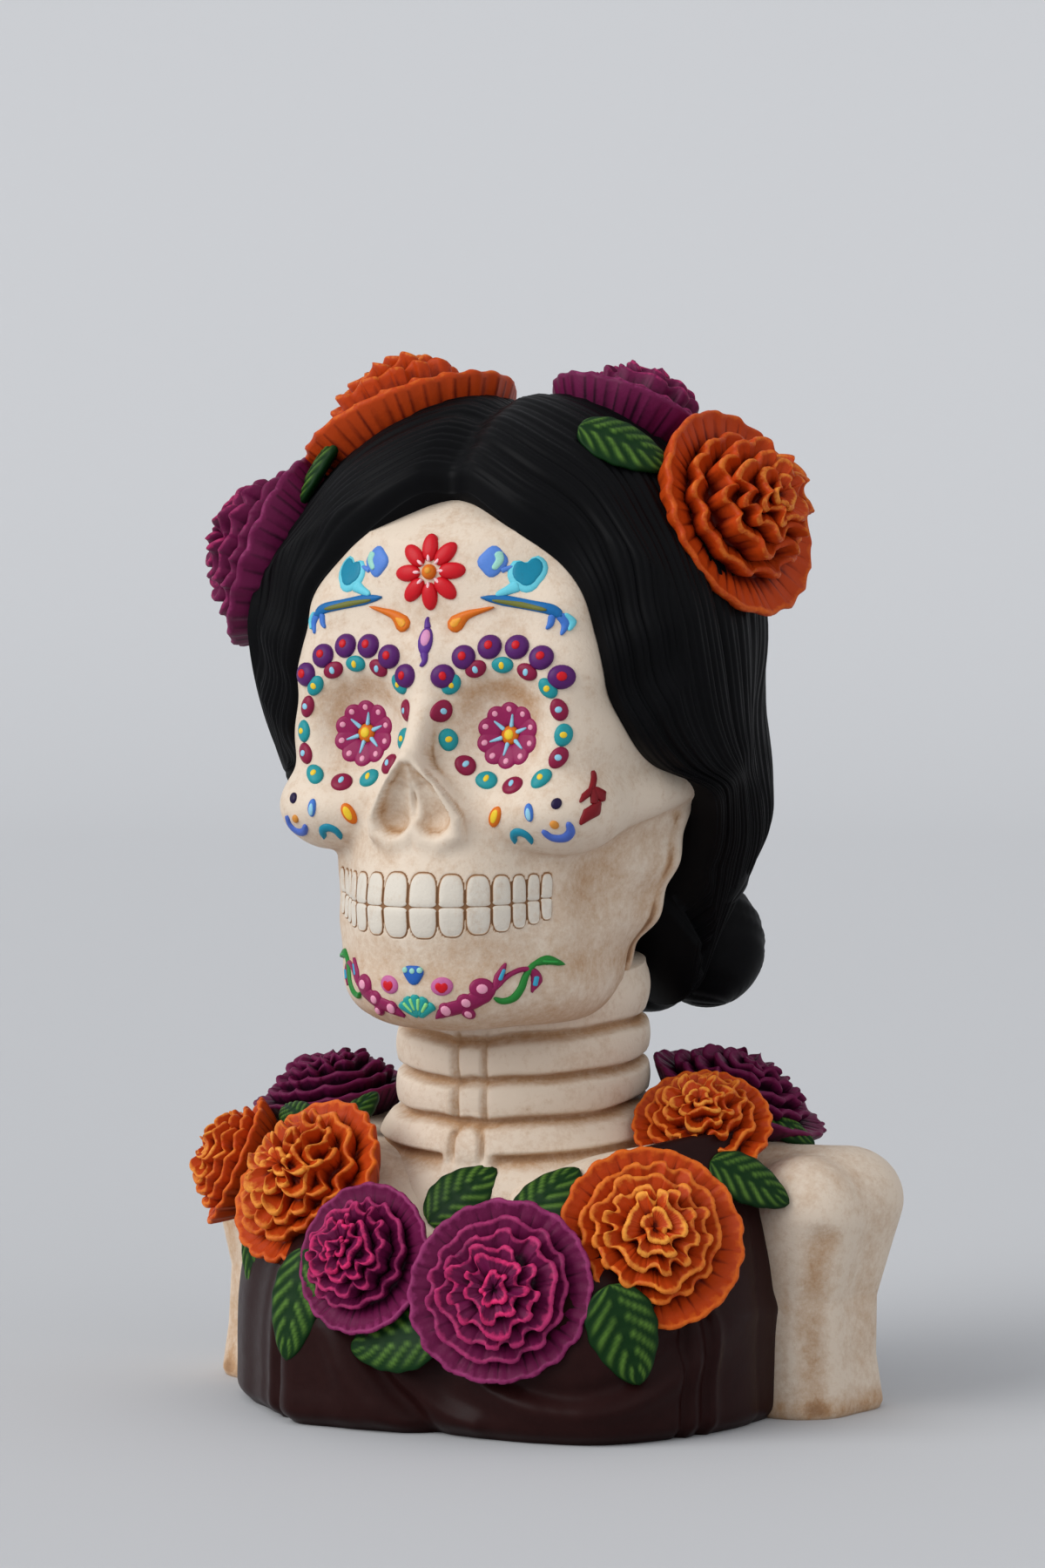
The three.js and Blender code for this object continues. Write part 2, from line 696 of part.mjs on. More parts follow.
const FLOWERS = [
  // Garland, from her right shoulder round the front to her left shoulder.
  { at: [-66, 4, 81], facing: [-0.15, -0.1, 1], form: FULL, radius: 23.5, tall: 11 },
  { at: [-79, -29, 64], facing: [-0.8, -0.45, 0.4], form: FULL, radius: 18.5, tall: 11 },
  { at: [-42.5, -53, 62], facing: [-0.3, -0.8, 0.45], form: FULL, radius: 24.5, tall: 14 },
  { at: [-13.5, -76.5, 42], facing: [-0.12, -0.9, 0.35], form: SAUCER, radius: 22, tall: 15 },
  { at: [29, -83, 40], facing: [0.2, -0.95, 0.22], form: FULL, radius: 24.5, tall: 12 },
  { at: [61.5, -60, 53.5], facing: [0.45, -0.8, 0.36], form: FULL, radius: 24.5, tall: 13.5 },
  { at: [57, -15, 79], facing: [0.2, -0.65, 0.75], form: FULL, radius: 19, tall: 12 },
  { at: [53, 20, 84], facing: [0.4, 0.05, 0.9], form: FULL, radius: 25.5, tall: 11 },
  // Crown, from her right ear over the top to her left ear.
  { at: [-69, -24, 235], facing: [-0.9, -0.2, 0.35], form: FULL, radius: 28, tall: 18 },
  { at: [-35, -8, 271], facing: [-0.42, 0.12, 0.9], form: SAUCER, radius: 31, tall: 17 },
  { at: [28, 6, 272], facing: [0.25, 0.45, 0.9], form: SAUCER, radius: 25, tall: 14 },
  { at: [65.5, -11.5, 246.5], facing: [0.91, -0.27, 0.32], form: SAUCER, radius: 28.5, tall: 18 },
];

// Leaves: where the foot and the tip are, which way the top faces, and the width.
const LEAVES = [
  { foot: [-7, -54, 53], tip: [9, -49, 70], facing: [0.1, -0.88, 0.4], wide: 17 },
  { foot: [24, -63, 54], tip: [36, -53, 72], facing: [-0.1, -0.8, 0.6], wide: 18 },
  { foot: [-31, -79, 48], tip: [-37, -88, 19], facing: [-0.2, -0.95, 0.2], wide: 18 },
  { foot: [13, -87, 30], tip: [-16, -92, 26.5], facing: [-0.08, -0.98, 0.15], wide: 19 },
  { foot: [57, -76.5, 43], tip: [65.5, -74.5, 16.5], facing: [0.55, -0.83, 0.1], wide: 20 },
  { foot: [66, -30, 71], tip: [84, -18, 59], facing: [0.6, -0.62, 0.5], wide: 15 },
  { foot: [-64.5, -47, 53], tip: [-61, -58, 29], facing: [-0.5, -0.85, 0.2], wide: 13 },
  { foot: [-46, -35, 72], tip: [-42, -15, 83], facing: [0.1, -0.6, 0.8], wide: 10 },
  { foot: [-55, -34, 77], tip: [-70, -23, 82], facing: [-0.3, -0.55, 0.8], wide: 10 },
  { foot: [60, 10, 81], tip: [80, 13, 74], facing: [0.4, -0.4, 0.82], wide: 11 },
  { foot: [30, -37, 269.5], tip: [52, -26, 257.5], facing: [0.5, -0.5, 0.72], wide: 19 },
  { foot: [-57, -35, 248], tip: [-42, -28, 269], facing: [-0.7, -0.5, 0.45], wide: 13 },
  { foot: [-65, -31, 214], tip: [-68, -22, 190], facing: [-0.95, -0.3, 0.1], wide: 11 },
];
function leafOnBust({ foot, tip, facing, wide }) {
  const along = subtract(tip, foot);
  return placed(leafSolid({ long: length(along), wide }), foot, facing, along);
}

function bustSolid() {
  return wasm.Manifold.union([
    skullSolid(),
    noseRimSolid(),
    jawBranchSolid(-1),
    jawBranchSolid(1),
    teethSolid(),
    hairSolid(),
    braidSolid(),
    neckSolid(),
    torsoSolid(),
    armSolid(-1),
    armSolid(1),
    ...FLOWERS.map((f) => placed(flowerSolid(f), f.at, f.facing)),
    ...LEAVES.map(leafOnBust),
  ]);
}

function geometryOf(made) {
  const mesh = made.getMesh();
  const geometry = new THREE.BufferGeometry();
  geometry.setAttribute("position", new THREE.BufferAttribute(new Float32Array(mesh.vertProperties), 3));
  geometry.setIndex(new THREE.BufferAttribute(new Uint32Array(mesh.triVerts), 1));
  geometry.computeVertexNormals();
  return geometry;
}

const boneWhite = new THREE.MeshStandardMaterial({ color: 0xe2d3bd, roughness: 0.75, metalness: 0 });
const bust = new THREE.Mesh(geometryOf(bustSolid()), boneWhite);
bust.name = "catrina_bust";

const catrina = new THREE.Group();
catrina.add(bust);
export default catrina;
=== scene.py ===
# %% [markdown]
# # A painted terracotta catrina
# The bust is one fired piece, so the frame has one solid. Here it is dressed again as the maker would
# have built it: a skull of pale bone, black hair combed from a middle parting, a ringed neck, a dark
# shawl, and flowers and leaves pressed on while the clay was soft. Raised drops of paint come last.
# Lengths are in millimetres until a mesh is made. The lady looks along -Y and +X is her left.

import math

import bpy
import numpy as np
from mathutils import Matrix, Vector


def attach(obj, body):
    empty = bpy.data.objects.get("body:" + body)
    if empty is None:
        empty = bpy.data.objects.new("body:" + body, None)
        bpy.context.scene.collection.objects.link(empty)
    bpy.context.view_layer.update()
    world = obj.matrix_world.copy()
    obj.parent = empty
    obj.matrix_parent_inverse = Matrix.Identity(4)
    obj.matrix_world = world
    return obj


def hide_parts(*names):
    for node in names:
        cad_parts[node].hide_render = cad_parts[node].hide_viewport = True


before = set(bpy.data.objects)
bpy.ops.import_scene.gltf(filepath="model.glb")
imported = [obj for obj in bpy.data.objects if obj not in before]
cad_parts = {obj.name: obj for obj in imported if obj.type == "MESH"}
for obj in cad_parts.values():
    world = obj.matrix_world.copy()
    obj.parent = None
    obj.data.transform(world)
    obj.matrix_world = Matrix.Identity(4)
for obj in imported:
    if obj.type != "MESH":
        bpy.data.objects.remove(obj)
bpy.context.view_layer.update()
MM = 0.001
DETAIL = 1.0


def detailed(*counts):
    return [int(count * DETAIL) for count in counts]


# %% [markdown]
# ## Soft clay as distances
# A skull has no edges to draw, so it is described as clay is added: balls and bars melt together and
# hollows are pressed in. A distance function says how far a point is from the surface, negative
# inside, and two of them blend like clay under a thumb.

# %% Distances that melt together
def point(*v):
    return np.array(v, float)


def turns(columns):
    """Angles of a closed ring in one row, from 0 up to a full turn that isn't reached."""
    return np.arange(columns)[None, :] * 2 * math.pi / columns


def blend(a, b, k):
    """The smaller of two distances, rounded over the width k where they are alike."""
    h = np.maximum(k - np.abs(a - b), 0) / k
    return np.minimum(a, b) - h * h * k / 4


def carve(a, b, k):
    """Shape a with shape b pressed out of it, rounded over the width k."""
    return -blend(-a, b, k)


def ball(p, centre, radii):
    """Distance to an ellipsoid, good near its surface: |q/r| times (|q/r| - 1) over |q/r^2|."""
    q = p - point(*centre)
    r = point(*radii)
    near = np.linalg.norm(q / r, axis=-1)
    return near * (near - 1) / (np.linalg.norm(q / r**2, axis=-1) + 1e-9)


def bar(p, *links):
    """Distance to a chain of round bars: each link is (end point, radius) and radii change evenly."""
    d = np.inf
    for (a, ra), (b, rb) in zip(links, links[1:]):
        a, ab = point(*a), point(*b) - point(*a)
        t = np.clip((p - a) @ ab / (ab @ ab), 0, 1)
        d = np.minimum(d, np.linalg.norm(p - a - t[..., None] * ab, axis=-1) - ra - (rb - ra) * t)
    return d


def brick(p, centre, half, radius):
    """Distance to a box with rounded edges."""
    q = np.abs(p - point(*centre)) - point(*half) + radius
    return np.linalg.norm(np.maximum(q, 0), axis=-1) + np.minimum(q.max(-1), 0) - radius


def bell(v, width):
    return np.exp(-((v / width) ** 2))


def ease(low, high, v):
    """0 below low, 1 above high, smooth between."""
    t = np.clip((v - low) / (high - low), 0, 1)
    return t * t * (3 - 2 * t)


def mirrored(p):
    return np.stack([np.abs(p[..., 0]), p[..., 1], p[..., 2]], -1)


print("a ball of 10 mm, seen from 25 mm:", ball(point(25, 0, 0), (0, 0, 0), (10, 10, 10)))

# %% [markdown]
# ## Teeth, jaw, nose and skull
# The teeth were cut into the wet jaw with a loop tool, so they stand as low pillows in a shallow bed
# on an upright wall. The wall is two cylinders melted together, the smaller one pushing the front
# teeth forward.

# %% The wall of teeth
BITE_Z = 141.0
TOOTH_AXIS_Y = -45
TOOTH_EDGES = (0, 13.4, 25.5, 38, 48.3, 56.5, 63.5, 69)  # degrees round that axis
UPPER_TALL, LOWER_TALL, TALL_STEP = 9.3, 8.4, 0.42  # the front teeth, and how much lower each next one is
# shares of a tooth's height: its middle above the bite, its gum above the middle, its edge below the middle
BITE_SHARE, GUM_SHARE, EDGE_SHARE = 0.4, 0.62, 0.408
BED_DEPTH = 0.3
TEETH_BACK_Y = -40  # the bed lies in front of this


def jaw_wall(x, y, z):
    """Two upright cylinders seen from above; the smaller one draws back above and below the teeth."""
    push = 6 * (1 - bell(z - BITE_Z, 15))
    return blend(np.hypot(x, y + 35.5) - 37, np.hypot(x, y + 58 - push) - 22.5, 10)


def tooth_tall(number, upper):
    return np.where(upper, UPPER_TALL, LOWER_TALL) - TALL_STEP * number


def tooth_outline(number, angle, upper):
    """Offset from the middle of the bite edge of a tooth, in shares of its half width and in mm of height:
    flat at the bite and a half oval at the gum."""
    tall = tooth_tall(number, upper)
    up = np.sin(angle) > 0
    across = np.sign(np.cos(angle)) * np.abs(np.cos(angle)) ** np.where(up, 0.62, 0.45)
    steep = np.abs(np.sin(angle))
    rise = np.where(up, GUM_SHARE * steep**0.8, -EDGE_SHARE * steep**0.25)
    return across, (BITE_SHARE + rise) * tall


def bite_lift(number):
    """The bite line rises a little towards the back teeth."""
    return 0.055 * number**2


print("upper teeth, in mm:", tooth_tall(np.arange(7), True).round(1))

# %% The jaw
CHIN_Z, JAW_TOP_Z = 108, 172


def teeth_recess(x, y, z):
    """Depth of the shallow bed that the teeth are set in: even inside their row, none outside it."""
    turn = np.degrees(np.arctan2(x, TOOTH_AXIS_Y - y))
    number = np.interp(turn, TOOTH_EDGES, np.arange(len(TOOTH_EDGES)))
    side = np.minimum(np.abs(2 * (number - np.floor(number)) - 1), 1)
    up = z - BITE_Z - bite_lift(number)
    top = (BITE_SHARE + GUM_SHARE * (1 - side**3.2) ** 0.4) * tooth_tall(number, up > 0)
    last = TOOTH_EDGES[-1]
    depth = BED_DEPTH * ease(0.25, -0.25, np.abs(up) - top) * ease(last, last - 1, turn)
    return depth * (y < TEETH_BACK_Y)


JAW_GROOVE = (((52.5, -16.5, 162), 2.4), ((49, -15.5, 150), 1.3), ((43, -15, 135), 1.0),
              ((33, -14.5, 121), 1.0))
# height, x of the front end, x of the back end, radius
FLANK_BARS = ((123, 22, 26, 8.5), (137, 25, 35, 8.5), (151, 27, 40.5, 8.5), (165, 28, 43, 9))


def jaw_groove(p):
    """Line that parts the flank from the branch behind it, wide at the top and narrow below."""
    return bar(p, *JAW_GROOVE)


def jaw(p):
    """Rounded slab behind the wall of teeth, a chin, flat flanks of four bars, a hollow under the cheek, and
    the groove that the branch stands behind."""
    x, y, z = np.moveaxis(p, -1, 0)
    wall = jaw_wall(x, y, z) + teeth_recess(x, y, z)
    rim, half = 12, (JAW_TOP_Z - CHIN_Z) / 2
    side = wall + rim
    up = np.abs(z - CHIN_Z - half) - half + rim
    slab = np.hypot(np.maximum(side, 0), np.maximum(up, 0)) + np.minimum(np.maximum(side, up), 0) - rim
    d = blend(slab, ball(p, (0, -55, 120), (24, 18, 12.5)), 6)
    for height, front, back, radius in FLANK_BARS:
        d = blend(d, bar(p, ((front, -47, height), radius + 0.5), ((back, -12, height + 2), radius)), 8)
    d = carve(d, ball(p, (46, -46, 147), (8, 12, 11)), 9)
    return carve(d, jaw_groove(p), 1.6)


print("a point ahead of the chin is", round(float(jaw(point(0, -85, 115)[None])[0]), 1), "mm from the jaw")

# %% The nose and the whole skull
EYE = dict(x=21.8, z=189)
NOSE_RIM = (
    ((0, -81.8, 181), 1.4), ((3.7, -80.8, 177.4), 1.4), ((8.3, -78.7, 171), 1.5),
    ((12.3, -76.6, 164.6), 1.7), ((11.8, -75.8, 160.4), 1.9), ((7, -75.7, 158.2), 1.9),
    ((2.6, -76.2, 159.4), 1.5), ((0, -76.6, 161.6), 1.2),
)
SOCKET = dict(y=-79, radii=(17.4, 17.6, 18.2))


def nose(p):
    """A bridge that widens into an upside-down heart, with a crisp rim round it."""
    bridge = bar(p, ((0, -63, 209), 6), ((0, -68, 196), 4.4), ((0, -74.5, 186), 3.8), ((0, -79, 181), 2.6))
    heart = bar(p, ((0, -78, 180), 2.6), ((4.6, -74.5, 172), 4.7), ((7.2, -71.7, 165.2), 6.3))
    return blend(blend(bridge, heart, 5), bar(p, *NOSE_RIM), 1.6)


def nostril(p):
    return bar(p, ((0.9, -82.8, 177.8), 1.7), ((3.6, -80.3, 171.4), 3.9), ((6.0, -78.1, 164.6), 4.9))


def skull(p):
    """Forehead, brow, tilted face slab, cheekbone and its arch, temple, jaw and nose melted together; the
    sockets and nostrils are pressed in. Only the left half is worked out."""
    p = mirrored(p)
    x, _, z = np.moveaxis(p, -1, 0)
    leaning = p - np.stack([0 * x, 0.1 * x + 0.07 * (z - 187), 0 * x], -1)
    d = blend(ball(p, (0, -26, 225), (49, 41.5, 42)), brick(p, (0, -38, 211), (43, 26, 20), 13), 6)
    d = blend(d, ball(p, (0, -44, 208), (46, 24, 10)), 8)
    d = blend(d, brick(leaning, (0, -49, 184), (44.3, 22, 28), 11), 6)
    d = blend(d, ball(p, (36.5, -54, 167), (12.5, 14, 11)), 5)
    d = blend(d, ball(p, (30, -58, 166.5), (17, 15.5, 9.5)), 5)
    arch = bar(p, ((39, -50, 168), 9), ((46, -32, 171), 8), ((50, -12, 175), 7.5))
    d = blend(d, arch, 5)
    d = blend(d, bar(p, ((38, -48, 186), 10), ((42, -30, 188), 12), ((44, -10, 188), 12)), 8)
    d = blend(d, jaw(p), 2.5)
    d = blend(d, nose(p), 4)
    d = carve(d, ball(p, (EYE["x"], SOCKET["y"], EYE["z"]), SOCKET["radii"]), 4)
    return carve(d, nostril(p), 1.3)


print("a point under the chin is", round(float(skull(point(0, -60, 105)[None])[0]), 2), "mm from it")

# %% [markdown]
# ## From distances to meshes
# A ray from the middle of a head meets its surface once, so a grid of directions gives a grid of
# points: a skin without holes whose rows and columns can be placed closer where the face is.

# %% Rays that find the surface
HALVINGS = 12


def reach(centre, direction, shape, farthest, steps=36):
    """Distance along each ray to the outermost point where the shape is solid: a walk inwards in even
    steps, then halving."""
    centre = np.broadcast_to(centre, direction.shape)
    inside = np.zeros(direction.shape[:-1])
    outside = np.full(direction.shape[:-1], float(farthest))
    found = np.zeros(direction.shape[:-1], bool)
    for step in range(steps, 0, -1):
        r = farthest * step / steps
        open_rays = ~found
        hit = np.zeros_like(found)
        hit[open_rays] = shape(centre[open_rays] + r * direction[open_rays]) < 0
        inside[hit] = r
        found |= hit
        outside[~found] = r
    for _ in range(HALVINGS):
        middle = (inside + outside) / 2
        solid = shape(centre + middle[..., None] * direction) < 0
        inside = np.where(solid, middle, inside)
        outside = np.where(solid, outside, middle)
    return inside


def unit(v):
    return v / np.linalg.norm(v, axis=-1, keepdims=True)


def from_degrees(around, up):
    """Direction at an angle round from the face and an angle up."""
    a, b = np.radians(around), np.radians(up)
    return np.stack([np.sin(a) * np.cos(b), -np.cos(a) * np.cos(b), np.sin(b) + 0 * a], -1)


print("straight ahead is", from_degrees(0, 0))


# %% Grids gathered into one mesh
def grid_faces(rows, columns):
    """Quads of a grid whose columns close on themselves, and fans of triangles to a point at each end."""
    i, j = np.meshgrid(np.arange(rows - 1), np.arange(columns), indexing="ij")
    k = (j + 1) % columns
    quads = np.stack([i * columns + j, i * columns + k, (i + 1) * columns + k, (i + 1) * columns + j], -1)
    j = np.arange(columns)
    k = (j + 1) % columns
    start, end = rows * columns, rows * columns + 1
    last = (rows - 1) * columns
    caps = [np.stack([start + 0 * j, k, j], -1), np.stack([end + 0 * j, last + j, last + k], -1)]
    return quads.reshape(-1, 4), np.concatenate(caps)


class Skin:
    """Several closed grids gathered into one mesh, with a number or a colour for each point."""

    def __init__(self):
        self.points, self.quads, self.triangles, self.marks = [], [], [], {}
        self.count = 0

    def add(self, grid, first, last, **marks):
        """grid is rows x columns x 3, and first and last are the points that close its ends; marks are rows
        x columns, or rows x columns x 3 for a colour."""
        rows, columns = grid.shape[:2]
        quads, triangles = grid_faces(rows, columns)
        flat = np.concatenate([grid.reshape(-1, 3), point(*first)[None], point(*last)[None]])
        if signed_volume(flat, quads, triangles) < 0:
            quads, triangles = quads[:, ::-1], triangles[:, ::-1]
        self.points.append(flat)
        self.quads.append(quads + self.count)
        self.triangles.append(triangles + self.count)
        for name, value in marks.items():
            value = np.broadcast_to(value, grid.shape[:2] + np.shape(value)[2:])
            ends = np.stack([value[0].mean(0), value[-1].mean(0)])
            listed = np.concatenate([value.reshape((-1,) + value.shape[2:]), ends])
            self.marks.setdefault(name, []).append(listed)
        self.count += len(flat)
        return self

    def finish(self, name, slot, material):
        """Makes the mesh and its object, hangs it on the root and hides the frame's bust that it dresses."""
        points = np.concatenate(self.points) * MM
        faces = [*np.concatenate(self.quads).tolist(), *np.concatenate(self.triangles).tolist()]
        mesh = bpy.data.meshes.new(name)
        mesh.from_pydata(points.tolist(), [], faces)
        mesh.polygons.foreach_set("use_smooth", np.full(len(faces), True))
        for mark, values in self.marks.items():
            values = np.concatenate(values)
            if values.ndim == 1:
                mesh.attributes.new(mark, "FLOAT", "POINT").data.foreach_set("value", values)
            else:
                colours = np.concatenate([values, np.ones((len(values), 1))], 1)
                mesh.attributes.new(mark, "FLOAT_COLOR", "POINT").data.foreach_set("color", colours.ravel())
        mesh.materials.append(material)
        piece = bpy.data.objects.new(name, mesh)
        bpy.context.collection.objects.link(piece)
        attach(piece, "root")
        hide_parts("catrina_bust")
        count = sum(len(f) - 2 for f in faces)
        print(f"{name}: {len(points)} points, {count} triangles")


def signed_volume(points, quads, triangles):
    """Sum of the volumes between the origin and each face; negative when the faces point inwards."""
    t = points[np.concatenate([quads[:, :3], quads[:, [0, 2, 3]], triangles])]
    return np.einsum("ij,ij->", t[:, 0], np.cross(t[:, 1], t[:, 2]))


def blurred(values, times):
    """Average of each point, counted twice, with its four neighbours, repeated."""
    for _ in range(times):
        padded = np.pad(values, 1, mode="edge")
        across = padded[:-2, 1:-1] + padded[2:, 1:-1]
        along = padded[1:-1, :-2] + padded[1:-1, 2:]
        values = (across + along + 2 * values) / 6
    return values


print("a closed grid of 4 rows and 5 columns has", sum(len(f) for f in grid_faces(4, 5)), "faces")

# %% [markdown]
# ## Paint
# Every finish is matte paint on fired clay. The maker rubbed thin brown over the bone and wiped it
# off, so brown stays in the hollows; with it, painted shade darkens the hollows, the creases and the
# places under and behind the forms. Each mesh carries a number for how hollow and how shaded it is, and the
# material mixes its colours by it.

# %% A small language for shader values
class Value:
    """A shader socket on which + - * and ** add Math nodes."""

    def __init__(self, material, socket):
        self.material, self.socket = material, socket

    def math(self, operation, *values):
        return self.material.node("ShaderNodeMath", {"operation": operation}, *values)

    def __add__(self, other):
        return self.math("ADD", self, other)

    def __sub__(self, other):
        return self.math("SUBTRACT", self, other)

    def __mul__(self, other):
        return self.math("MULTIPLY", self, other)

    def __pow__(self, other):
        return self.math("POWER", self, other)

    def __rsub__(self, other):
        return self.math("SUBTRACT", other, self)

    __radd__, __rmul__ = __add__, __mul__

    def clamped(self):
        return self.math("MINIMUM", self.math("MAXIMUM", self, 0.0), 1.0)


class Paint:
    """A material under construction: a Principled shader whose constant sockets are set at once."""

    def __init__(self, name, **constants):
        self.material = bpy.data.materials.new(name)
        self.material.use_nodes = True
        self.tree = self.material.node_tree
        self.shader = self.tree.nodes["Principled BSDF"]
        for socket, value in constants.items():
            self.shader.inputs[socket.replace("_", " ")].default_value = value

    def node(self, kind, settings=None, *values, output=0, **named):
        made = self.tree.nodes.new(kind)
        for key, value in (settings or {}).items():
            setattr(made, key, value)
        for key, value in [*enumerate(values), *named.items()]:
            socket = made.inputs[key if isinstance(key, int) else key.replace("_", " ")]
            self.feed(socket, value)
        return Value(self, made.outputs[output])

    def feed(self, socket, value):
        if isinstance(value, Value):
            self.tree.links.new(value.socket, socket)
        else:
            socket.default_value = value

    def mark(self, name, output="Fac"):
        return self.node("ShaderNodeAttribute", {"attribute_name": name}, output=output)

    def noise(self, scale, detail=4.0, rough=0.6):
        """Cloudy values from 0 to 1; scale counts clouds per metre."""
        place = self.node("ShaderNodeTexCoord", output="Object")
        sizes = dict(Scale=scale, Detail=detail, Roughness=rough)
        return self.node("ShaderNodeTexNoise", None, Vector=place, **sizes)

    def mix(self, factor, a, b):
        """Colour a where factor is 0, colour b where it is 1."""
        made = self.tree.nodes.new("ShaderNodeMix")
        made.data_type = "RGBA"
        for socket, value in zip((made.inputs[0], made.inputs[6], made.inputs[7]), (factor, a, b)):
            self.feed(socket, value)
        return Value(self, made.outputs[2])

    def bump(self, height, distance, strength=1.0):
        return self.node("ShaderNodeBump", None, Height=height, Distance=distance, Strength=strength)

    def set(self, **sockets):
        for socket, value in sockets.items():
            self.feed(self.shader.inputs[socket.replace("_", " ")], value)
        return self.material


def rgb(r, g, b):
    return (r, g, b, 1.0)


print("shader values can be joined by + - * and **")

# %% Bone, hair and cloth
BONE = rgb(0.71, 0.595, 0.475)
# tan and brown serve the maker's wash and also the painted shade
BONE_TAN = rgb(0.46, 0.275, 0.145)
BONE_BROWN = rgb(0.23, 0.11, 0.045)


def bone_paint(name, pale):
    """Ivory; tan clouds, and brown by the mark wash: the maker's wash in the hollows together with painted
    shade in the hollows and under and behind the forms.
    """
    paint = Paint(name, Roughness=0.6, Specular_IOR_Level=0.3)
    wash = paint.mark("wash")
    clouds = paint.noise(55.0, 5.0, 0.65)
    speckle = paint.noise(330.0, 4.0, 0.75)
    grain = paint.noise(900.0, 3.0, 0.7)
    tint = (wash * 1.25 + (clouds - 0.49) * 1.4 + (speckle - 0.5) * 1.3 + (grain - 0.5) * 0.5).clamped()
    colour = paint.mix(tint, pale, BONE_TAN)
    # brown where the wash and the painted shade are strongest
    deep = ((wash - 0.62 + (grain - 0.5) * 0.3) * 2.6).clamped()
    specks = ((speckle - 0.66) * 5.0).clamped() * 0.4
    colour = paint.mix((deep + specks).clamped(), colour, BONE_BROWN)
    return paint.set(Base_Color=colour, Normal=paint.bump(grain + clouds * 0.6, 0.00025, 0.6))


def hair_paint():
    paint = Paint("hair", Roughness=0.45, Specular_IOR_Level=0.055)
    # darker in the valleys between the strands, as painted shade, and darker at random
    valley_shade_and_tone = (paint.mark("wash") * 0.6 + (paint.noise(300.0) - 0.5) * 0.6).clamped()
    return paint.set(Base_Color=paint.mix(valley_shade_and_tone, rgb(0.0034, 0.0035, 0.0041), rgb(0.0010, 0.0010, 0.0012)))


def shawl_paint():
    paint = Paint("shawl", Specular_IOR_Level=0.07)
    rub = paint.noise(260.0, 5.0)
    colour = paint.mix(rub, rgb(0.0145, 0.0042, 0.0040), rgb(0.023, 0.0068, 0.0063))
    return paint.set(Base_Color=colour, Roughness=rub * 0.2 + 0.27, Normal=paint.bump(rub, 0.0002, 0.35))


bone, tooth_white = bone_paint("bone", BONE), bone_paint("tooth_enamel", rgb(0.67, 0.615, 0.53))
hair_black, shawl_brown = hair_paint(), shawl_paint()
print("bone, teeth, hair and cloth:", ", ".join(m.name for m in bpy.data.materials))


# %% Petals, leaves and enamel
def petal_paint(name, crease, body, edge, core_edge):
    """Dark in the creases as painted shade, bright on the lips, brighter still on the inner lips: the mark
    rim runs from -1 in a crease to 1 on a lip, and core from 0 at the outer edge to 1 in the middle."""
    paint = Paint(name, Roughness=0.5, Specular_IOR_Level=0.16)
    rim, core = paint.mark("rim"), paint.mark("core")
    grain, clouds = paint.noise(900.0), paint.noise(130.0)
    colour = paint.mix((rim * -1.1 + (grain - 0.5) * 0.5 + (clouds - 0.5) * 0.6).clamped(), body, crease)
    lip = paint.mix((core * 1.5 - 0.15).clamped(), edge, core_edge)
    colour = paint.mix(((rim - 0.62 + (grain - 0.5) * 0.8 + (clouds - 0.5)) * 1.9).clamped(), colour, lip)
    return paint.set(Base_Color=colour, Normal=paint.bump(grain, 0.0002, 0.4))


def leaf_paint():
    paint = Paint("leaves", Roughness=0.5, Specular_IOR_Level=0.1)
    stroke = paint.mark("stroke")
    patch = paint.noise(160.0)
    light = (stroke * (patch * 1.7 - 0.05)).clamped()
    return paint.set(Base_Color=paint.mix(light, rgb(0.004, 0.026, 0.005), rgb(0.095, 0.20, 0.03)))


def enamel_paint():
    paint = Paint("ornament", Roughness=0.42, Specular_IOR_Level=0.2)
    shade = (paint.noise(1500.0) - 0.5) * 0.5
    colour = paint.mark("paint", "Color")
    return paint.set(Base_Color=paint.mix(shade.clamped(), colour, rgb(0.02, 0.01, 0.01)))


orange = petal_paint("orange_petals", crease=rgb(0.10, 0.004, 0.0005), body=rgb(0.47, 0.048, 0.003),
                     edge=rgb(0.66, 0.13, 0.010), core_edge=rgb(0.86, 0.36, 0.05))
purple = petal_paint("purple_petals", crease=rgb(0.018, 0.0005, 0.009), body=rgb(0.13, 0.006, 0.052),
                     edge=rgb(0.27, 0.028, 0.125), core_edge=rgb(0.72, 0.026, 0.15))
leaf_green, enamel = leaf_paint(), enamel_paint()
print("all finishes:", ", ".join(m.name for m in bpy.data.materials))

# %% [markdown]
# ## The skull
# Columns lie close together over the face, where the teeth need them, and far apart behind it,
# where hair covers the bone. A hollow is where a point lies deeper than the average of its
# neighbours, so the brown wash and the painted shade in the hollows need no painting by hand.

# %% The skull's skin
SKULL_CENTRE = point(0, -30, 172)
SKULL_FARTHEST = 105


def spread(low, high, count, *crowds):
    """Angles from low to high that stand closer where it matters: each crowd is (middle, width, weight),
    and the angles are equal steps of the running sum of 1 plus all the crowds."""
    fine = np.linspace(low, high, 2000)
    weight = 1 + sum(w * bell(fine - middle, width) for middle, width, w in crowds)
    total = np.cumsum(weight)
    return np.interp(np.linspace(total[0], total[-1], count), total, fine)


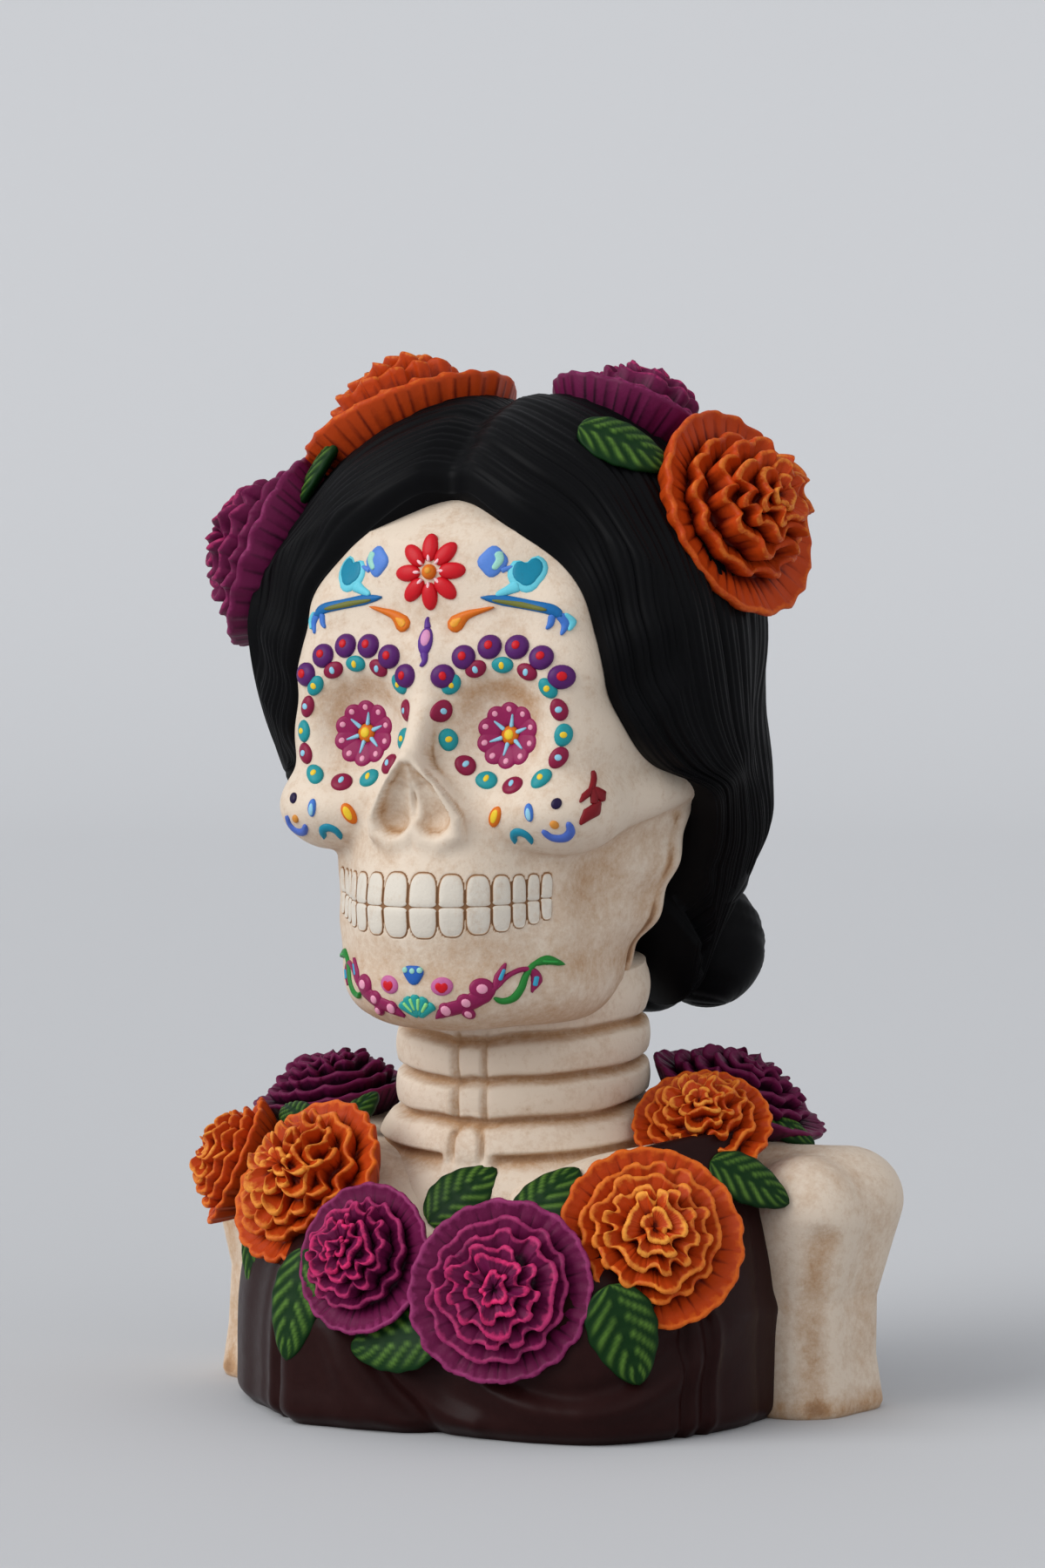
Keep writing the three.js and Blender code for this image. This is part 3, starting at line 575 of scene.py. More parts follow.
def skull_wash(p, r):
    """How brown each point is, partly the maker's wash and partly painted shade: deep places of the surface,
    the bed of the teeth, the walls of the sockets, the nostrils, the groove of the jaw, and the painted shade
    under the cheekbones, under the jaw and behind it."""
    q = mirrored(p)
    x, y, z = np.moveaxis(q, -1, 0)
    # browner in small and broad hollows: painted shade in the recesses
    deep = np.clip((blurred(r, 5) - r) / 0.5, -0.3, 1.2)
    wide = np.clip((blurred(r, int(70 * DETAIL)) - r) / 4.0, -0.5, 1.0)
    eye = np.hypot(x - EYE["x"], z - EYE["z"])
    # painted shade on the upper walls of the sockets, under the brow
    lids = bell(eye - 12.5, 3.5) * ease(-0.6, 0.7, (z - EYE["z"]) / 14) * (y < -50)
    # painted shade under the cheekbone
    hollow = bell(x - 38, 9) * bell(y + 48, 15) * bell(z - 148, 9)
    # painted shade behind the face
    back = ease(-30, -8, y) * (z < 185)
    nose_hole = ease(0.4, -1.8, nostril(q) - 1.0) * (0.22 + 0.5 * ease(170, 178, z))
    bed = 3.6 * teeth_recess(x, y, z)
    # painted shade, darker towards the bottom of the jaw and under it
    under_jaw = ease(118, 109, z) + 0.8 * ease(172, 120, z)
    line = bell(jaw_groove(q), 1.0) * (z < 172)
    wash = 0.42 * deep + 0.25 * wide + 0.4 * lids + 0.3 * hollow + 0.3 * back + nose_hole + bed + 0.5 * line
    return np.clip(wash + 0.3 * under_jaw, 0, 1.2)


def skull_skin():
    rows, columns = detailed(240, 300)
    up = spread(-76, 62, rows, (-33, 11, 1.6), (8, 18, 0.9))
    around = spread(-130, 130, columns, (0, 48, 2.6))
    around = np.concatenate([around, [155, 180, 205]])
    direction = from_degrees(around[None, :], up[:, None])
    r = reach(SKULL_CENTRE, direction, skull, SKULL_FARTHEST)
    p = SKULL_CENTRE + r[..., None] * direction
    poles = np.array([[0, 0, -1], [0, 0, 1]], float)
    ends = SKULL_CENTRE + poles * reach(SKULL_CENTRE, poles, skull, SKULL_FARTHEST)[:, None]
    Skin().add(p, *ends, wash=skull_wash(p, r)).finish("skull", "bone", bone)


skull_skin()

# %% [markdown]
# ## Teeth
# Each tooth is a low pillow pressed into the bed of the jaw, flat at the bite and round at the gum.
# The bed shows between them as a thin brown line.

# %% Pillows on the wall
TOOTH_GAP = 0.2  # degrees left free at each side of a tooth
TOOTH_RISE, TOOTH_FOOT = 0.42, -0.9  # heights of its middle and of its buried back


def tooth_point(turn, z, height):
    """Point of the jaw at an angle round the teeth's axis, moved out by height from the rim of the bed."""
    out = from_degrees(turn, 0)
    centre = np.stack([0 * turn, TOOTH_AXIS_Y + 0 * turn, z], -1)
    wall = reach(centre, out, lambda p: jaw(mirrored(p)), 60, 14)
    return centre + (wall + BED_DEPTH + height)[..., None] * out


def teeth_skin():
    rings, columns = int(8 * DETAIL) + 4, int(56 * DETAIL)
    s = (np.linspace(0, 1, rings + 1)[1:] ** 0.6)[:, None]
    a = turns(columns)
    skin = Skin()
    for side in (-1, 1):
        for number in range(7):
            low, high = TOOTH_EDGES[number : number + 2]
            for upper in (True, False):
                across, rise = tooth_outline(number, a, upper)
                tall = tooth_outline(number, math.pi / 2, upper)[1] / 2
                turn = (low + high) / 2 + s * across * ((high - low) / 2 - TOOTH_GAP)
                bulge = 1 - s**5
                z = BITE_Z + bite_lift(number) + (1 if upper else -1) * (tall + (rise - tall) * s)
                height = np.concatenate([0.5 * bulge - 0.1 - 0.25 * (s >= 1), [[TOOTH_FOOT]]])
                turn, z = np.concatenate([turn, turn[-1:]]), np.concatenate([z, z[-1:]])
                p = tooth_point(side * turn, z, height + 0 * turn)
                middle = point(side * (low + high) / 2), point(z[0].mean())
                ends = [tooth_point(*middle, h)[0] for h in (TOOTH_RISE, TOOTH_FOOT)]
                edge = ease(np.where(np.sin(a) < -0.3, 0.95, 0.84), 1.0, s)
                rim = np.concatenate([edge, np.ones((1, columns))])
                skin.add(p, *ends, wash=1.5 * rim)
    skin.finish("teeth", "bone", tooth_white)


teeth_skin()

# %% [markdown]
# ## Hair
# The hair is one volume combed into locks. Four edges are known: the hairline, the parting, the
# nape, and the spot behind the ear where the locks meet. A patch stretched between those edges gives
# every lock its direction, and grooves along it make the strands.

# %% The volume and its four edges
HAIR_CENTRE = point(0, -15, 190)
NAPE_TURN = 205
HAIRLINE = ((0, 58), (24, 46.8), (39.5, 38), (46, 25), (49.5, 10), (57, -3.5), (68, -12), (82, -17),
            (98, -29), (114, -45), (132, -57), (165, -60))  # from the parting down, degrees round and up
HAIR_FARTHEST = 110


def hair_volume(p):
    """The crown, the swoop of locks past the ear, and the fullness at the back, melted together."""
    p = mirrored(p)
    crown = ball(p, (0, -12, 213), (70, 62, 66))
    swoop = bar(p, ((42, -39, 214), 23), ((50, -16, 180), 18), ((43, 14, 162), 17), ((27, 20, 124), 16))
    return blend(blend(crown, swoop, 14), ball(p, (0, 16, 176), (61, 40, 50)), 14)


def smooth_path(knots, t):
    """Catmull-Rom curve through the knots; t from 0 to 1 runs over all of them evenly."""
    knots = np.asarray(knots, float)
    padded = np.concatenate([2 * knots[:1] - knots[1:2], knots, 2 * knots[-1:] - knots[-2:-1]])
    s = np.clip(t, 0, 1) * (len(knots) - 1)
    i = np.minimum(s.astype(int), len(knots) - 2)
    f = (s - i)[..., None]
    a, b, c, d = (padded[i + k] for k in range(4))
    bent = (2 * a - 5 * b + 4 * c - d) * f**2 + (3 * b - a - 3 * c + d) * f**3
    return 0.5 * (2 * b + (c - a) * f + bent)


def lock_direction(across, along):
    """Patch between four curves: the sum of both blends between opposite edges, minus the blend of the
    corners. across runs from hairline to nape, along from the parting down one side."""
    t = np.abs(along)[..., None]
    s = across[..., None]
    front = smooth_path([from_degrees(a, b) for a, b in HAIRLINE], np.abs(along))
    parting = from_degrees(0 * across, HAIRLINE[0][1] + (NAPE_TURN - HAIRLINE[0][1]) * across)
    nape, gather = from_degrees(0, NAPE_TURN), from_degrees(*HAIRLINE[-1])
    forehead = from_degrees(*HAIRLINE[0])
    d = front * (1 - s) + (nape * (1 - t) + gather * t) * s + parting * (1 - t) + gather * t
    d -= (forehead * (1 - s) + nape * s) * (1 - t) + gather * t
    d[..., 0] *= np.where(along < 0, -1, 1)
    return unit(d)


print("the middle of a side looks to", lock_direction(point(0.5), point(0.5)).round(2))


# %% Locks and strands
def strands(v, count, seed):
    """Round ridges with sharp valleys, count of them, unevenly wide."""
    a, b = seed * 1.7, seed * 2.3
    warped = v + (0.3 * np.sin(5 * v + a) + 0.2 * np.sin(11 * v + b)) / count * 2
    return np.abs(np.sin(np.pi * count * warped)) ** 0.7 - 0.6


def hair_skin():
    """Rays through the patch, from one side of the face over the parting to the other. Near the hairline the
    hair lies thin on the bone; ridges of three sizes are the locks and strands, and the parting is pressed
    in. Two more columns inside close the skin."""
    rows, columns = detailed(180, 370)
    along = np.linspace(-0.985, 0.985, rows)[:, None]
    across = np.linspace(0, 1, columns)[None, :] ** 1.15
    along, across = np.broadcast_arrays(along, across)
    d = lock_direction(across, along)
    r = reach(HAIR_CENTRE, d, hair_volume, HAIR_FARTHEST)
    flow = across + 0.02 * np.sin(5 * np.abs(along) + np.sign(along)) * across
    side = np.sign(along)
    fade = ease(0.0, 0.2, np.abs(along))
    locks = ((1.1, 9), (0.8, 28), (0.65, 74))
    relief = sum(tall * strands(flow, count, k + side) for k, (tall, count) in enumerate(locks, 1))
    relief *= 0.65 + 0.35 * fade
    first = columns // 5
    near = across[:, :first]
    bone_under = reach(HAIR_CENTRE, d[:, :first], skull, HAIR_FARTHEST)
    thickness = 0.4 + 2.6 * ease(0, 0.012, near) + 110 * np.maximum(0, near - 0.01)
    loose = 60 * ease(0.55, 0.72, np.abs(along[:, :first]))
    r[:, :first] = np.minimum(r[:, :first], bone_under + thickness + loose)
    r += relief * ease(0, 0.014, across) + 1.5 * bell(np.abs(along) - 0.1, 0.07) * ease(0, 0.04, across)
    r -= 4.2 * bell(along, 0.02) * (1 - 0.5 * across)
    p = HAIR_CENTRE + r[..., None] * d
    inner = [HAIR_CENTRE + 30 * lock_direction(np.full(rows, s), along[:, 0]) for s in (0.7, 0.35)]
    grid = np.concatenate([p, np.stack(inner, 1)], 1)
    # painted shade in the valleys between the strands
    wash = np.clip(-relief, 0, 1)
    wash = np.concatenate([wash, np.ones((rows, 2))], 1)
    gather = from_degrees(*HAIRLINE[-1]) * 45
    ends = HAIR_CENTRE + gather * point(-1, 1, 1), HAIR_CENTRE + gather
    Skin().add(grid, *ends, wash=wash).finish("hair", "hair", hair_black)


hair_skin()

# %% [markdown]
# ## Braid
# The braid hangs from ear to ear behind the neck as plump lobes, with a knot at the nape. Each lobe
# is a stretched ball whose strands wind round it, the way a braid's strands cross over.

# %% The lobes
BRAID_RADIUS = 13.9
LOBE_STRETCH = point(1.25, 1, 1.15)


def turned(v, axis, angle):
    """v turned about a row axis by an angle in radians."""
    return v @ np.array(Matrix.Rotation(angle, 3, axis)).T


def braid_places(lobes=6):
    """Centre, tilt, radius and winding of each lobe: they hang on a half ellipse from ear to ear, big and
    small by turns; the last is the knot at the nape that closes the hair above them."""
    for n in range(lobes):
        s = 2 * n / (lobes - 1) - 1
        hang, swell = max(math.cos(s * math.pi / 2), 0), math.cos(math.pi * n)
        wide = math.sin(s * math.pi / 2)
        centre = point(42 * wide, 18 + 31 * hang**0.6, 150 - 32.5 * hang**0.5)
        yield centre, 1.35 * s + 0.35 * swell, BRAID_RADIUS + 1.2 * swell, swell
    yield point(0, 43, 134), 0.0, 13, 1


def braid_skin():
    skin = Skin()
    rows, columns = detailed(40, 78)
    up = np.linspace(-1, 1, rows + 2)[1:-1, None] * math.pi / 2
    around = turns(columns)
    level = np.cos(up)
    sphere = np.stack([np.sin(up) + 0 * around, level * np.cos(around), level * np.sin(around)], -1)
    for n, (centre, tilt, radius, swell) in enumerate(braid_places()):
        wind = around / (2 * math.pi) + 0.35 * np.sin(up) * swell
        relief = 0.6 * strands(wind % 1, 7, n) + 0.25 * strands(wind % 1, 23, n + 3)
        lobe = sphere * (radius + relief * level**0.5)[..., None] * LOBE_STRETCH
        poles = [turned(point(x * LOBE_STRETCH[0] * radius, 0, 0), "Y", tilt) + centre for x in (-1, 1)]
        # painted shade in the valleys between the strands
        skin.add(turned(lobe, "Y", tilt) + centre, *poles, wash=np.clip(-relief, 0, 1))
    skin.finish("braid", "hair", hair_black)


braid_skin()

# %% [markdown]
# ## Neck and chest
# The neck is a stack of bone rings that tips forward, split in front by two upright grooves into a
# column of small blocks. Lower down the rings spread into ribs.

# %% The rings
NECK = dict(y=-8, radius=32, tilt=0.1)


CREASES = (106.2, 94.6, 83.4)  # heights between the rings, before the tilt
RING_MIDDLES = (114, 100.4, 89, 78.4, 64)
BLOCK_HALF = 4.5
NECK_ENDS = (42, 122)


def neck_skin():
    """Bulged rings between creases, a column of blocks between two upright grooves, the rounded head of the
    breastbone and the slot under the collar bones."""
    rows, columns = detailed(130, 170)
    z = np.linspace(44, 121, rows)[:, None]
    a = turns(columns)
    a = a - 0.42 * np.sin(a)
    front = ease(-0.2, 0.4, np.cos(a))
    flare = np.maximum(0, 84 - z) * (0.25 + 0.45 * np.sin(a) ** 2)
    x = np.abs(np.sin(a)) * (NECK["radius"] + 3 + 0.5 * flare)
    x = np.where(np.cos(a) > 0, x, 90 - x)
    near_block = bell(x - 4, 5) * front
    crease = 0 * z * a
    for height in CREASES:
        sunk = height - 0.8 * near_block + 0.35 * np.sin(3 * a + height) + 0.2 * np.sin(7 * a + 2 * height)
        crease = np.maximum(crease, ease(2.1, 0.3, np.abs(z - sunk)))
    arch = np.hypot(x / BLOCK_HALF, np.maximum(0, z - 77.5) / 5.6) - 1
    side = np.where(z > CREASES[-1], np.abs(x - BLOCK_HALF), np.abs(arch) * BLOCK_HALF)
    upright = ease(1.15, 0.35, side) * ease(109, 106, z) * ease(71, 75, z) * (x < 12)
    below = z - 74.5 - 0.03 * x
    slot = ease(0.6, -0.6, below) * ease(-6.5, -1.0, below) * ease(6.5, 9, x) * ease(60, 40, x) * front
    middle = np.array(RING_MIDDLES)[:, None, None]
    v = np.min(np.abs(z[None] - middle), 0) / 6
    bulge = 1.3 * (1 - np.minimum(v, 1) ** 2)
    block = ease(0.4, -0.4, x - BLOCK_HALF) * ease(84, 86, z) * front
    cut = np.maximum(np.maximum(3.0 * crease, 2.0 * upright), 2.6 * slot)
    r = NECK["radius"] + 2.2 + bulge + flare - cut - 0.7 * block
    y = -np.cos(a) * r
    p = np.stack([np.sin(a) * r, NECK["y"] + y, z + y * NECK["tilt"]], -1)
    groove = np.maximum(np.maximum(crease, upright), slot)
    # brown in the grooves, partly the maker's tan lines and partly painted shade, and darker towards the back
    soft = 0.7 * blurred(groove, 1) + 0.5 * blurred(groove, 12)
    wash = 0.95 * soft - 0.2 + 0.3 * ease(0.2, -0.6, np.cos(a))
    ends = ((0, NECK["y"], end) for end in NECK_ENDS)
    Skin().add(p, *ends, wash=np.clip(wash, 0, 1.15)).finish("neck", "bone", bone)


neck_skin()

# %% [markdown]
# ## Body and shawl
# The body is a stack of sections that share one footprint, given as a radius for each angle. The
# shawl is the same skin a little further out, with its folds, and it stops at a neckline.

# %% Footprint and sections
SHAWL_CENTRE_Y = -18
FRONT_DIP = 20  # how far the shoulders slope down to the front
SHOULDER_Z = 78
FOOTPRINT = ((-180, 46), (-145, 54), (-112, 73), (-90, 77), (-75, 77), (-54, 71), (-29, 72.5), (8, 64.5),
             (32, 77), (43, 83), (63, 81.5), (86, 79.5), (112, 75), (145, 54), (180, 46))  # degrees, radius
SECTIONS = ((0, 3), (4, 0), (11, 0), (19, 0), (30, 1), (42, 5), (53, 13), (63, 24), (71, 34),
            (SHOULDER_Z, 45))  # height, and how far in from the footprint the front lies


def footprint_radius(around):
    """Cubic curve through the footprint's radii, with slopes from each knot's neighbours."""
    angles, radii = np.array(FOOTPRINT, float).T
    angles = np.concatenate([angles[-2:-1] - 360, angles, angles[1:2] + 360])
    radii = np.concatenate([radii[-2:-1], radii, radii[1:2]])
    slopes = (radii[2:] - radii[:-2]) / (angles[2:] - angles[:-2])
    a = (np.degrees(around) + 180) % 360 - 180
    i = np.clip(np.searchsorted(angles[1:-1], a, side="right") - 1, 0, len(slopes) - 2)
    start, end = angles[i + 1], angles[i + 2]
    span = end - start
    t = (a - start) / span
    return (radii[i + 1] * (1 + 2 * t) * (1 - t) ** 2 + slopes[i] * span * t * (1 - t) ** 2
            + radii[i + 2] * t * t * (3 - 2 * t) + slopes[i + 1] * span * t * t * (t - 1))


def body_point(around, height, lift=0.0, folds=None):
    """Point of the body's skin, which draws in and dips towards the front; lift moves it out, folds adds the
    cloth's relief."""
    around, height = np.broadcast_arrays(np.asarray(around, float), np.asarray(height, float))
    heights, insets = np.array(SECTIONS, float).T
    share = np.interp(height, heights, np.linspace(0, 1, len(heights)))
    inset = smooth_path(insets[:, None], share)[..., 0]
    ahead = np.maximum(0, np.cos(around))
    r = footprint_radius(around) - inset * (0.25 + 0.75 * ahead)
    if folds is not None:
        r = r + folds(around, np.sin(around) * r, height)
    out = r + lift
    dip = FRONT_DIP * ease(42, SHOULDER_Z, height) * ahead**2
    return np.stack([np.sin(around) * out, SHAWL_CENTRE_Y - np.cos(around) * out, height - dip], -1)


print("the body's edge in front, at the table:", body_point(point(0), 0).round(1))


# %% Folds of the cloth
def fold_line(x, z, knots, width):
    """Ridge along a curve on the front, where x and z are seen from ahead: 1 on the curve and falling as a
    bell of that width, worked out from the nearest of many points on the curve."""
    path = smooth_path(knots, np.linspace(0, 1, 60))
    d2 = np.full(np.shape(x), np.inf)
    for knot in path:
        d2 = np.minimum(d2, (x - knot[0]) ** 2 + (z - knot[1]) ** 2)
    return np.exp(-d2 / width**2)


UPRIGHT_FOLDS = ((-1.5, 60.3, 1.0), (1.0, 62, 1.4), (-1.5, 65.6, 1.0), (1.0, 67.4, 1.4), (1.0, -29, 3),
                 (-0.7, -43, 3), (-0.8, -20, 4), (0.9, -60, 6))  # rise, degrees round the body, width


def cloth_folds(around, x, z):
    """Pleats at the sides and back, the diagonal fold at the front, the swag beside it, two upright creases
    on the left and the deep one on the right, each drawn as a soft line."""
    a = np.degrees(np.arctan2(np.sin(around), np.cos(around)))
    low = ease(SHOULDER_Z - 8, 40, z)
    back = ease(72, 90, np.abs(a))
    pleats = 1.3 * back * (np.abs(np.sin(np.radians(a) * 8.5 + 0.3 * np.sin(z / 14))) ** 0.7 - 0.6)
    diagonal = -2.6 * fold_line(x, z, [(-20, 36), (-12, 22), (-4, 12.5), (3, 6), (9, -3)], 2.6)
    diagonal += 1.7 * fold_line(x, z, [(-12, 31), (-4, 20), (4, 12), (13, 6), (20, 4)], 3.4)
    diagonal += 1.3 * fold_line(x, z, [(-24, 27), (-17, 15), (-9, 7), (-2, 1)], 4.0)
    swag = 2.1 * fold_line(x, z, [(20, 17), (27, 13), (37, 10), (51, 9), (64, 12), (72, 20), (76, 30)], 3.4)
    swag -= 1.7 * fold_line(x, z, [(27, 18), (37, 15), (50, 13.5), (62, 17), (69, 25)], 3.0)
    upright = -2.3 * bell(a + 34 + 0.06 * (40 - z), 2.0)
    for rise, turn, width in UPRIGHT_FOLDS:
        upright = upright + rise * bell(a - turn, width)
    hem = -1.6 * bell(z, 1.6)
    return low * (pleats + diagonal + swag + upright) + hem


print("the cloth's relief in front, at the table:", cloth_folds(point(0), point(0), point(0)).round(1))

# %% Chest and shawl
NECKLINE_Z = 50


def neckline(around):
    """Height of the cloth's upper edge: low in front, up on the shoulders."""
    a = np.arctan2(np.sin(around), np.cos(around))
    return NECKLINE_Z + (SHOULDER_Z - NECKLINE_Z) * ease(0.35, 1.15, np.abs(a))


def chest_skin():
    """Bone body, whole and plain: a little inside the body's skin where it shows, more so under the cloth."""
    rows, columns = detailed(40, 120)
    foot = 1.5
    z = np.linspace(foot, SHOULDER_Z, rows)[:, None]
    a = turns(columns)
    p = body_point(a, z, -1.6 - 3.6 * ease(3, -3, z - neckline(a) + 4))
    ends = ((0, SHAWL_CENTRE_Y, end) for end in (foot, SHOULDER_Z - 14))
    Skin().add(p, *ends, wash=np.full((rows, columns), 0.05)).finish("chest", "bone", bone)


def shawl_skin():
    """The body's skin with the folds, up to the neckline, and one row inside it that makes the edge thick."""
    rows, columns = detailed(90, 460)
    t = np.linspace(0, 1, rows)[:, None]
    a = turns(columns)
    z = t * neckline(a)
    p = body_point(a, z, 0.0, cloth_folds)
    inner = body_point(a, neckline(a), -3.0)
    ends = ((0, SHAWL_CENTRE_Y, end) for end in (0, 60))
    Skin().add(np.concatenate([p, inner]), *ends).finish("shawl", "shawl", shawl_brown)


chest_skin()
shawl_skin()

# %% [markdown]
# ## Arms
# Each arm is two long bones side by side, cut off flat on the table.

# %% The two bones of an arm
ARM = dict(x=84, y=5, top=54)
LEAN_FROM = 0.72  # share of the rows that stand upright


def arm_hollow(p):
    return bar(p, ((95, -17.5, 47), 4.5), ((92.5, -17.5, 20), 4.5), ((94, -18, 5), 3.5))


def arm(p):
    """The front bone, the back bone, and the bar of the shoulder that joins them to the body; the hollow
    between the bones is pressed in."""
    front = bar(p, ((82.5, -2, 54), 16.5), ((80.5, -3, 32), 13), ((81, -3, 14), 13.5), ((82, -3, -4), 15))
    back = bar(p, ((89.8, 17, 57), 13.2), ((86, 14, 32), 10.6), ((86, 13, 14), 10.8), ((88, 12, -4), 12))
    d = blend(front, back, 9)
    d = blend(d, bar(p, ((56, 10, 60), 14.5), ((86, 14, 57.5), 13.2)), 6)
    return carve(d, arm_hollow(p), 5)


def arm_skin(side):
    """Rings of rays from an upright axis, which lean over to close the shoulder."""
    rows, columns = detailed(90, 100)
    t = np.linspace(0, 1, rows)[:, None]
    a = turns(columns)
    z = ARM["top"] * np.minimum(t / LEAN_FROM, 1)
    lean = np.clip((t - LEAN_FROM) / (1 - LEAN_FROM), 0, 0.985) * math.pi / 2 + 0 * a
    d = np.stack([np.sin(a) * np.cos(lean), -np.cos(a) * np.cos(lean), np.sin(lean)], -1)
    centre = np.stack([ARM["x"] + 0 * lean, ARM["y"] + 0 * lean, z + 0 * a], -1)
    r = reach(centre, d, arm, 48)
    p = centre + (r - 1.2 * bell(t, 0.015))[..., None] * d
    p[..., 2] = np.maximum(p[..., 2], 0)
    deep = blurred(r, int(24 * DETAIL)) - r
    hollow = bell(arm_hollow(p), 3)
    # a little brown everywhere, and painted shade in the recesses, in the hollow between the bones and near
    # the table
    wash = np.clip(0.12 + 0.2 * deep + 0.5 * hollow + 0.5 * bell(p[..., 2] - 2, 4), 0, 0.9)
    p *= point(side, 1, 1)
    name = "arm_" + ("left" if side > 0 else "right")
    Skin().add(p, (ARM["x"] * side, ARM["y"], 0), p[-1].mean(0), wash=wash).finish(name, "bone", bone)


for side in (-1, 1):
    arm_skin(side)

# %% [markdown]
# ## Flowers
# A clay flower is a cup with frills pressed on in tiers. Each frill's edge wanders in and out and up
# and down together, a quarter wave apart, which is what makes a ruffle curl.

# %% One flower
# for each frill from the outside in: radius and height of its edge, and how far the edge swings
FULL = (
    (1.0, 0.77, 0.63, 0.47, 0.32, 0.16),
    (0.12, 0.38, 0.62, 0.84, 0.98, 1.0),
    (0.012, 0.024, 0.037, 0.050, 0.050, 0.028),
)
SAUCER = (
    (1.0, 0.72, 0.57, 0.43, 0.29, 0.14),
    (0.10, 0.30, 0.68, 0.90, 1.0, 1.02),
    (0.010, 0.026, 0.044, 0.050, 0.046, 0.028),
)
WAVES = (20, 14, 11, 9, 7, 4)  # round each edge
PLEATS = 21
FOOT_DEPTH = 0.95  # share of the height that is sunk in the clay below


def frill_rows(number, lips, heights):
    """Profile of one frill: up its outside, over a rolled lip that overhangs, and down a sloping pad to the
    crease at the foot of the next frill. A row is radius, height, share of the wave, paint from crease to
    lip, frill number."""
    lip, top = lips[number], heights[number]
    outermost, innermost = number == 0, number + 1 == len(lips)
    foot, floor = (0.5, -FOOT_DEPTH) if outermost else (lip * 0.93 - 0.035, heights[number - 1] - 0.19)
    low = 0.02 if innermost else lips[number + 1] * 0.93 - 0.03
    inner = lip - 0.06
    rows = []
    for s in np.linspace(0, 1, 6 if outermost else 4):
        out, up = foot + (lip - foot) * s**0.7, floor + (top - 0.12 - floor) * s
        rows.append((out, up, 0.6 + 0.4 * s, -1 + 1.2 * s))
    for out, up, paint in ((0.012, -0.06, 0.8), (0, -0.01, 1), (-0.028, 0, 1), (-0.055, -0.035, 0.5)):
        rows.append((lip + out, top + up, 1, paint))
    for s in (0.3, 0.65, 1):
        out, up = inner + (low - inner) * s, top - 0.05 - 0.12 * s**1.5
        rows.append((out, up, 1 - 0.4 * s, 0.3 - 1.2 * s**2))
    return [(*row, number) for row in rows]


def flower_grid(form, radius, tall, ruffle, columns, seed):
    """The profile turned round the flower's axis. An edge swings in and out as a sine whose phase wanders;
    its angle swings at twice the rate, which folds the wave into loops, and its height a quarter turn
    later. Pleats run down from every lip."""
    rng = np.random.default_rng(seed)
    lips, heights, swings = form
    profile = np.array([row for k in range(len(lips)) for row in frill_rows(k, lips, heights)])
    a = turns(columns)
    share, up, wave, paint, number = (profile[:, k : k + 1] for k in range(5))
    swing, heave, twist = (np.zeros((len(profile), columns)) for _ in range(3))
    for k, count in enumerate(WAVES):
        f = rng.uniform(0, 6.28, 7)
        n = count + int(rng.integers(-1, 2))
        phase = n * a + f[0] + 1.2 * np.sin(2 * a + f[1]) + 0.7 * np.sin(3 * a + f[2])
        size = swings[k] * ruffle * (1 + 0.45 * np.sin(3 * a + f[6]))
        here = number == k
        oval = 0.02 * np.sin(2 * a + f[4]) + 0.02 * np.sin(a + f[4] + k)
        swing += here * (size * (np.sin(phase) + 0.15 * np.sin(2 * phase + f[3])) + oval)
        heave += here * size * 0.75 * (np.cos(phase) + 0.2 * np.cos(2 * phase + f[5]))
        twist -= here * 0.34 * np.sin(2 * phase) / n * min(1, (k + 1) / 3)
    pleats = 0.35 - 1.35 * bell(np.sin(PLEATS * a + 1.5 * np.sin(3 * a) + 2 * number), 0.35)
    pleats *= (paint < 0.95) * np.minimum(1, 0.4 + share)
    angle = a + wave * twist
    r = radius * (share + wave * swing) + 0.12 * pleats
    z = tall * up + radius * wave * heave + 0.4 * pleats * wave
    grid = np.stack([r * np.cos(angle), r * np.sin(angle), z], -1)
    # rim darkens the creases, the pleat valleys and the parts of each edge that swing in, as painted shade
    rim = np.clip(paint + (0.35 + 0.3 * (number < 1)) * pleats + 3.0 * wave * swing, -1, 1)
    return grid, rim, 1 - share + 0 * a


def stood(grid, at, facing, towards=(0, 0, -1)):
    """Turns +Z to facing and +X to towards, and moves the grid to a point."""
    z = unit(point(*facing))
    x = point(*towards)
    x = unit(x - z * (x @ z))
    return grid @ np.stack([x, np.cross(z, x), z]) + point(*at)


print("an inner frill's profile has", len(frill_rows(1, *FULL[:2])), "points")


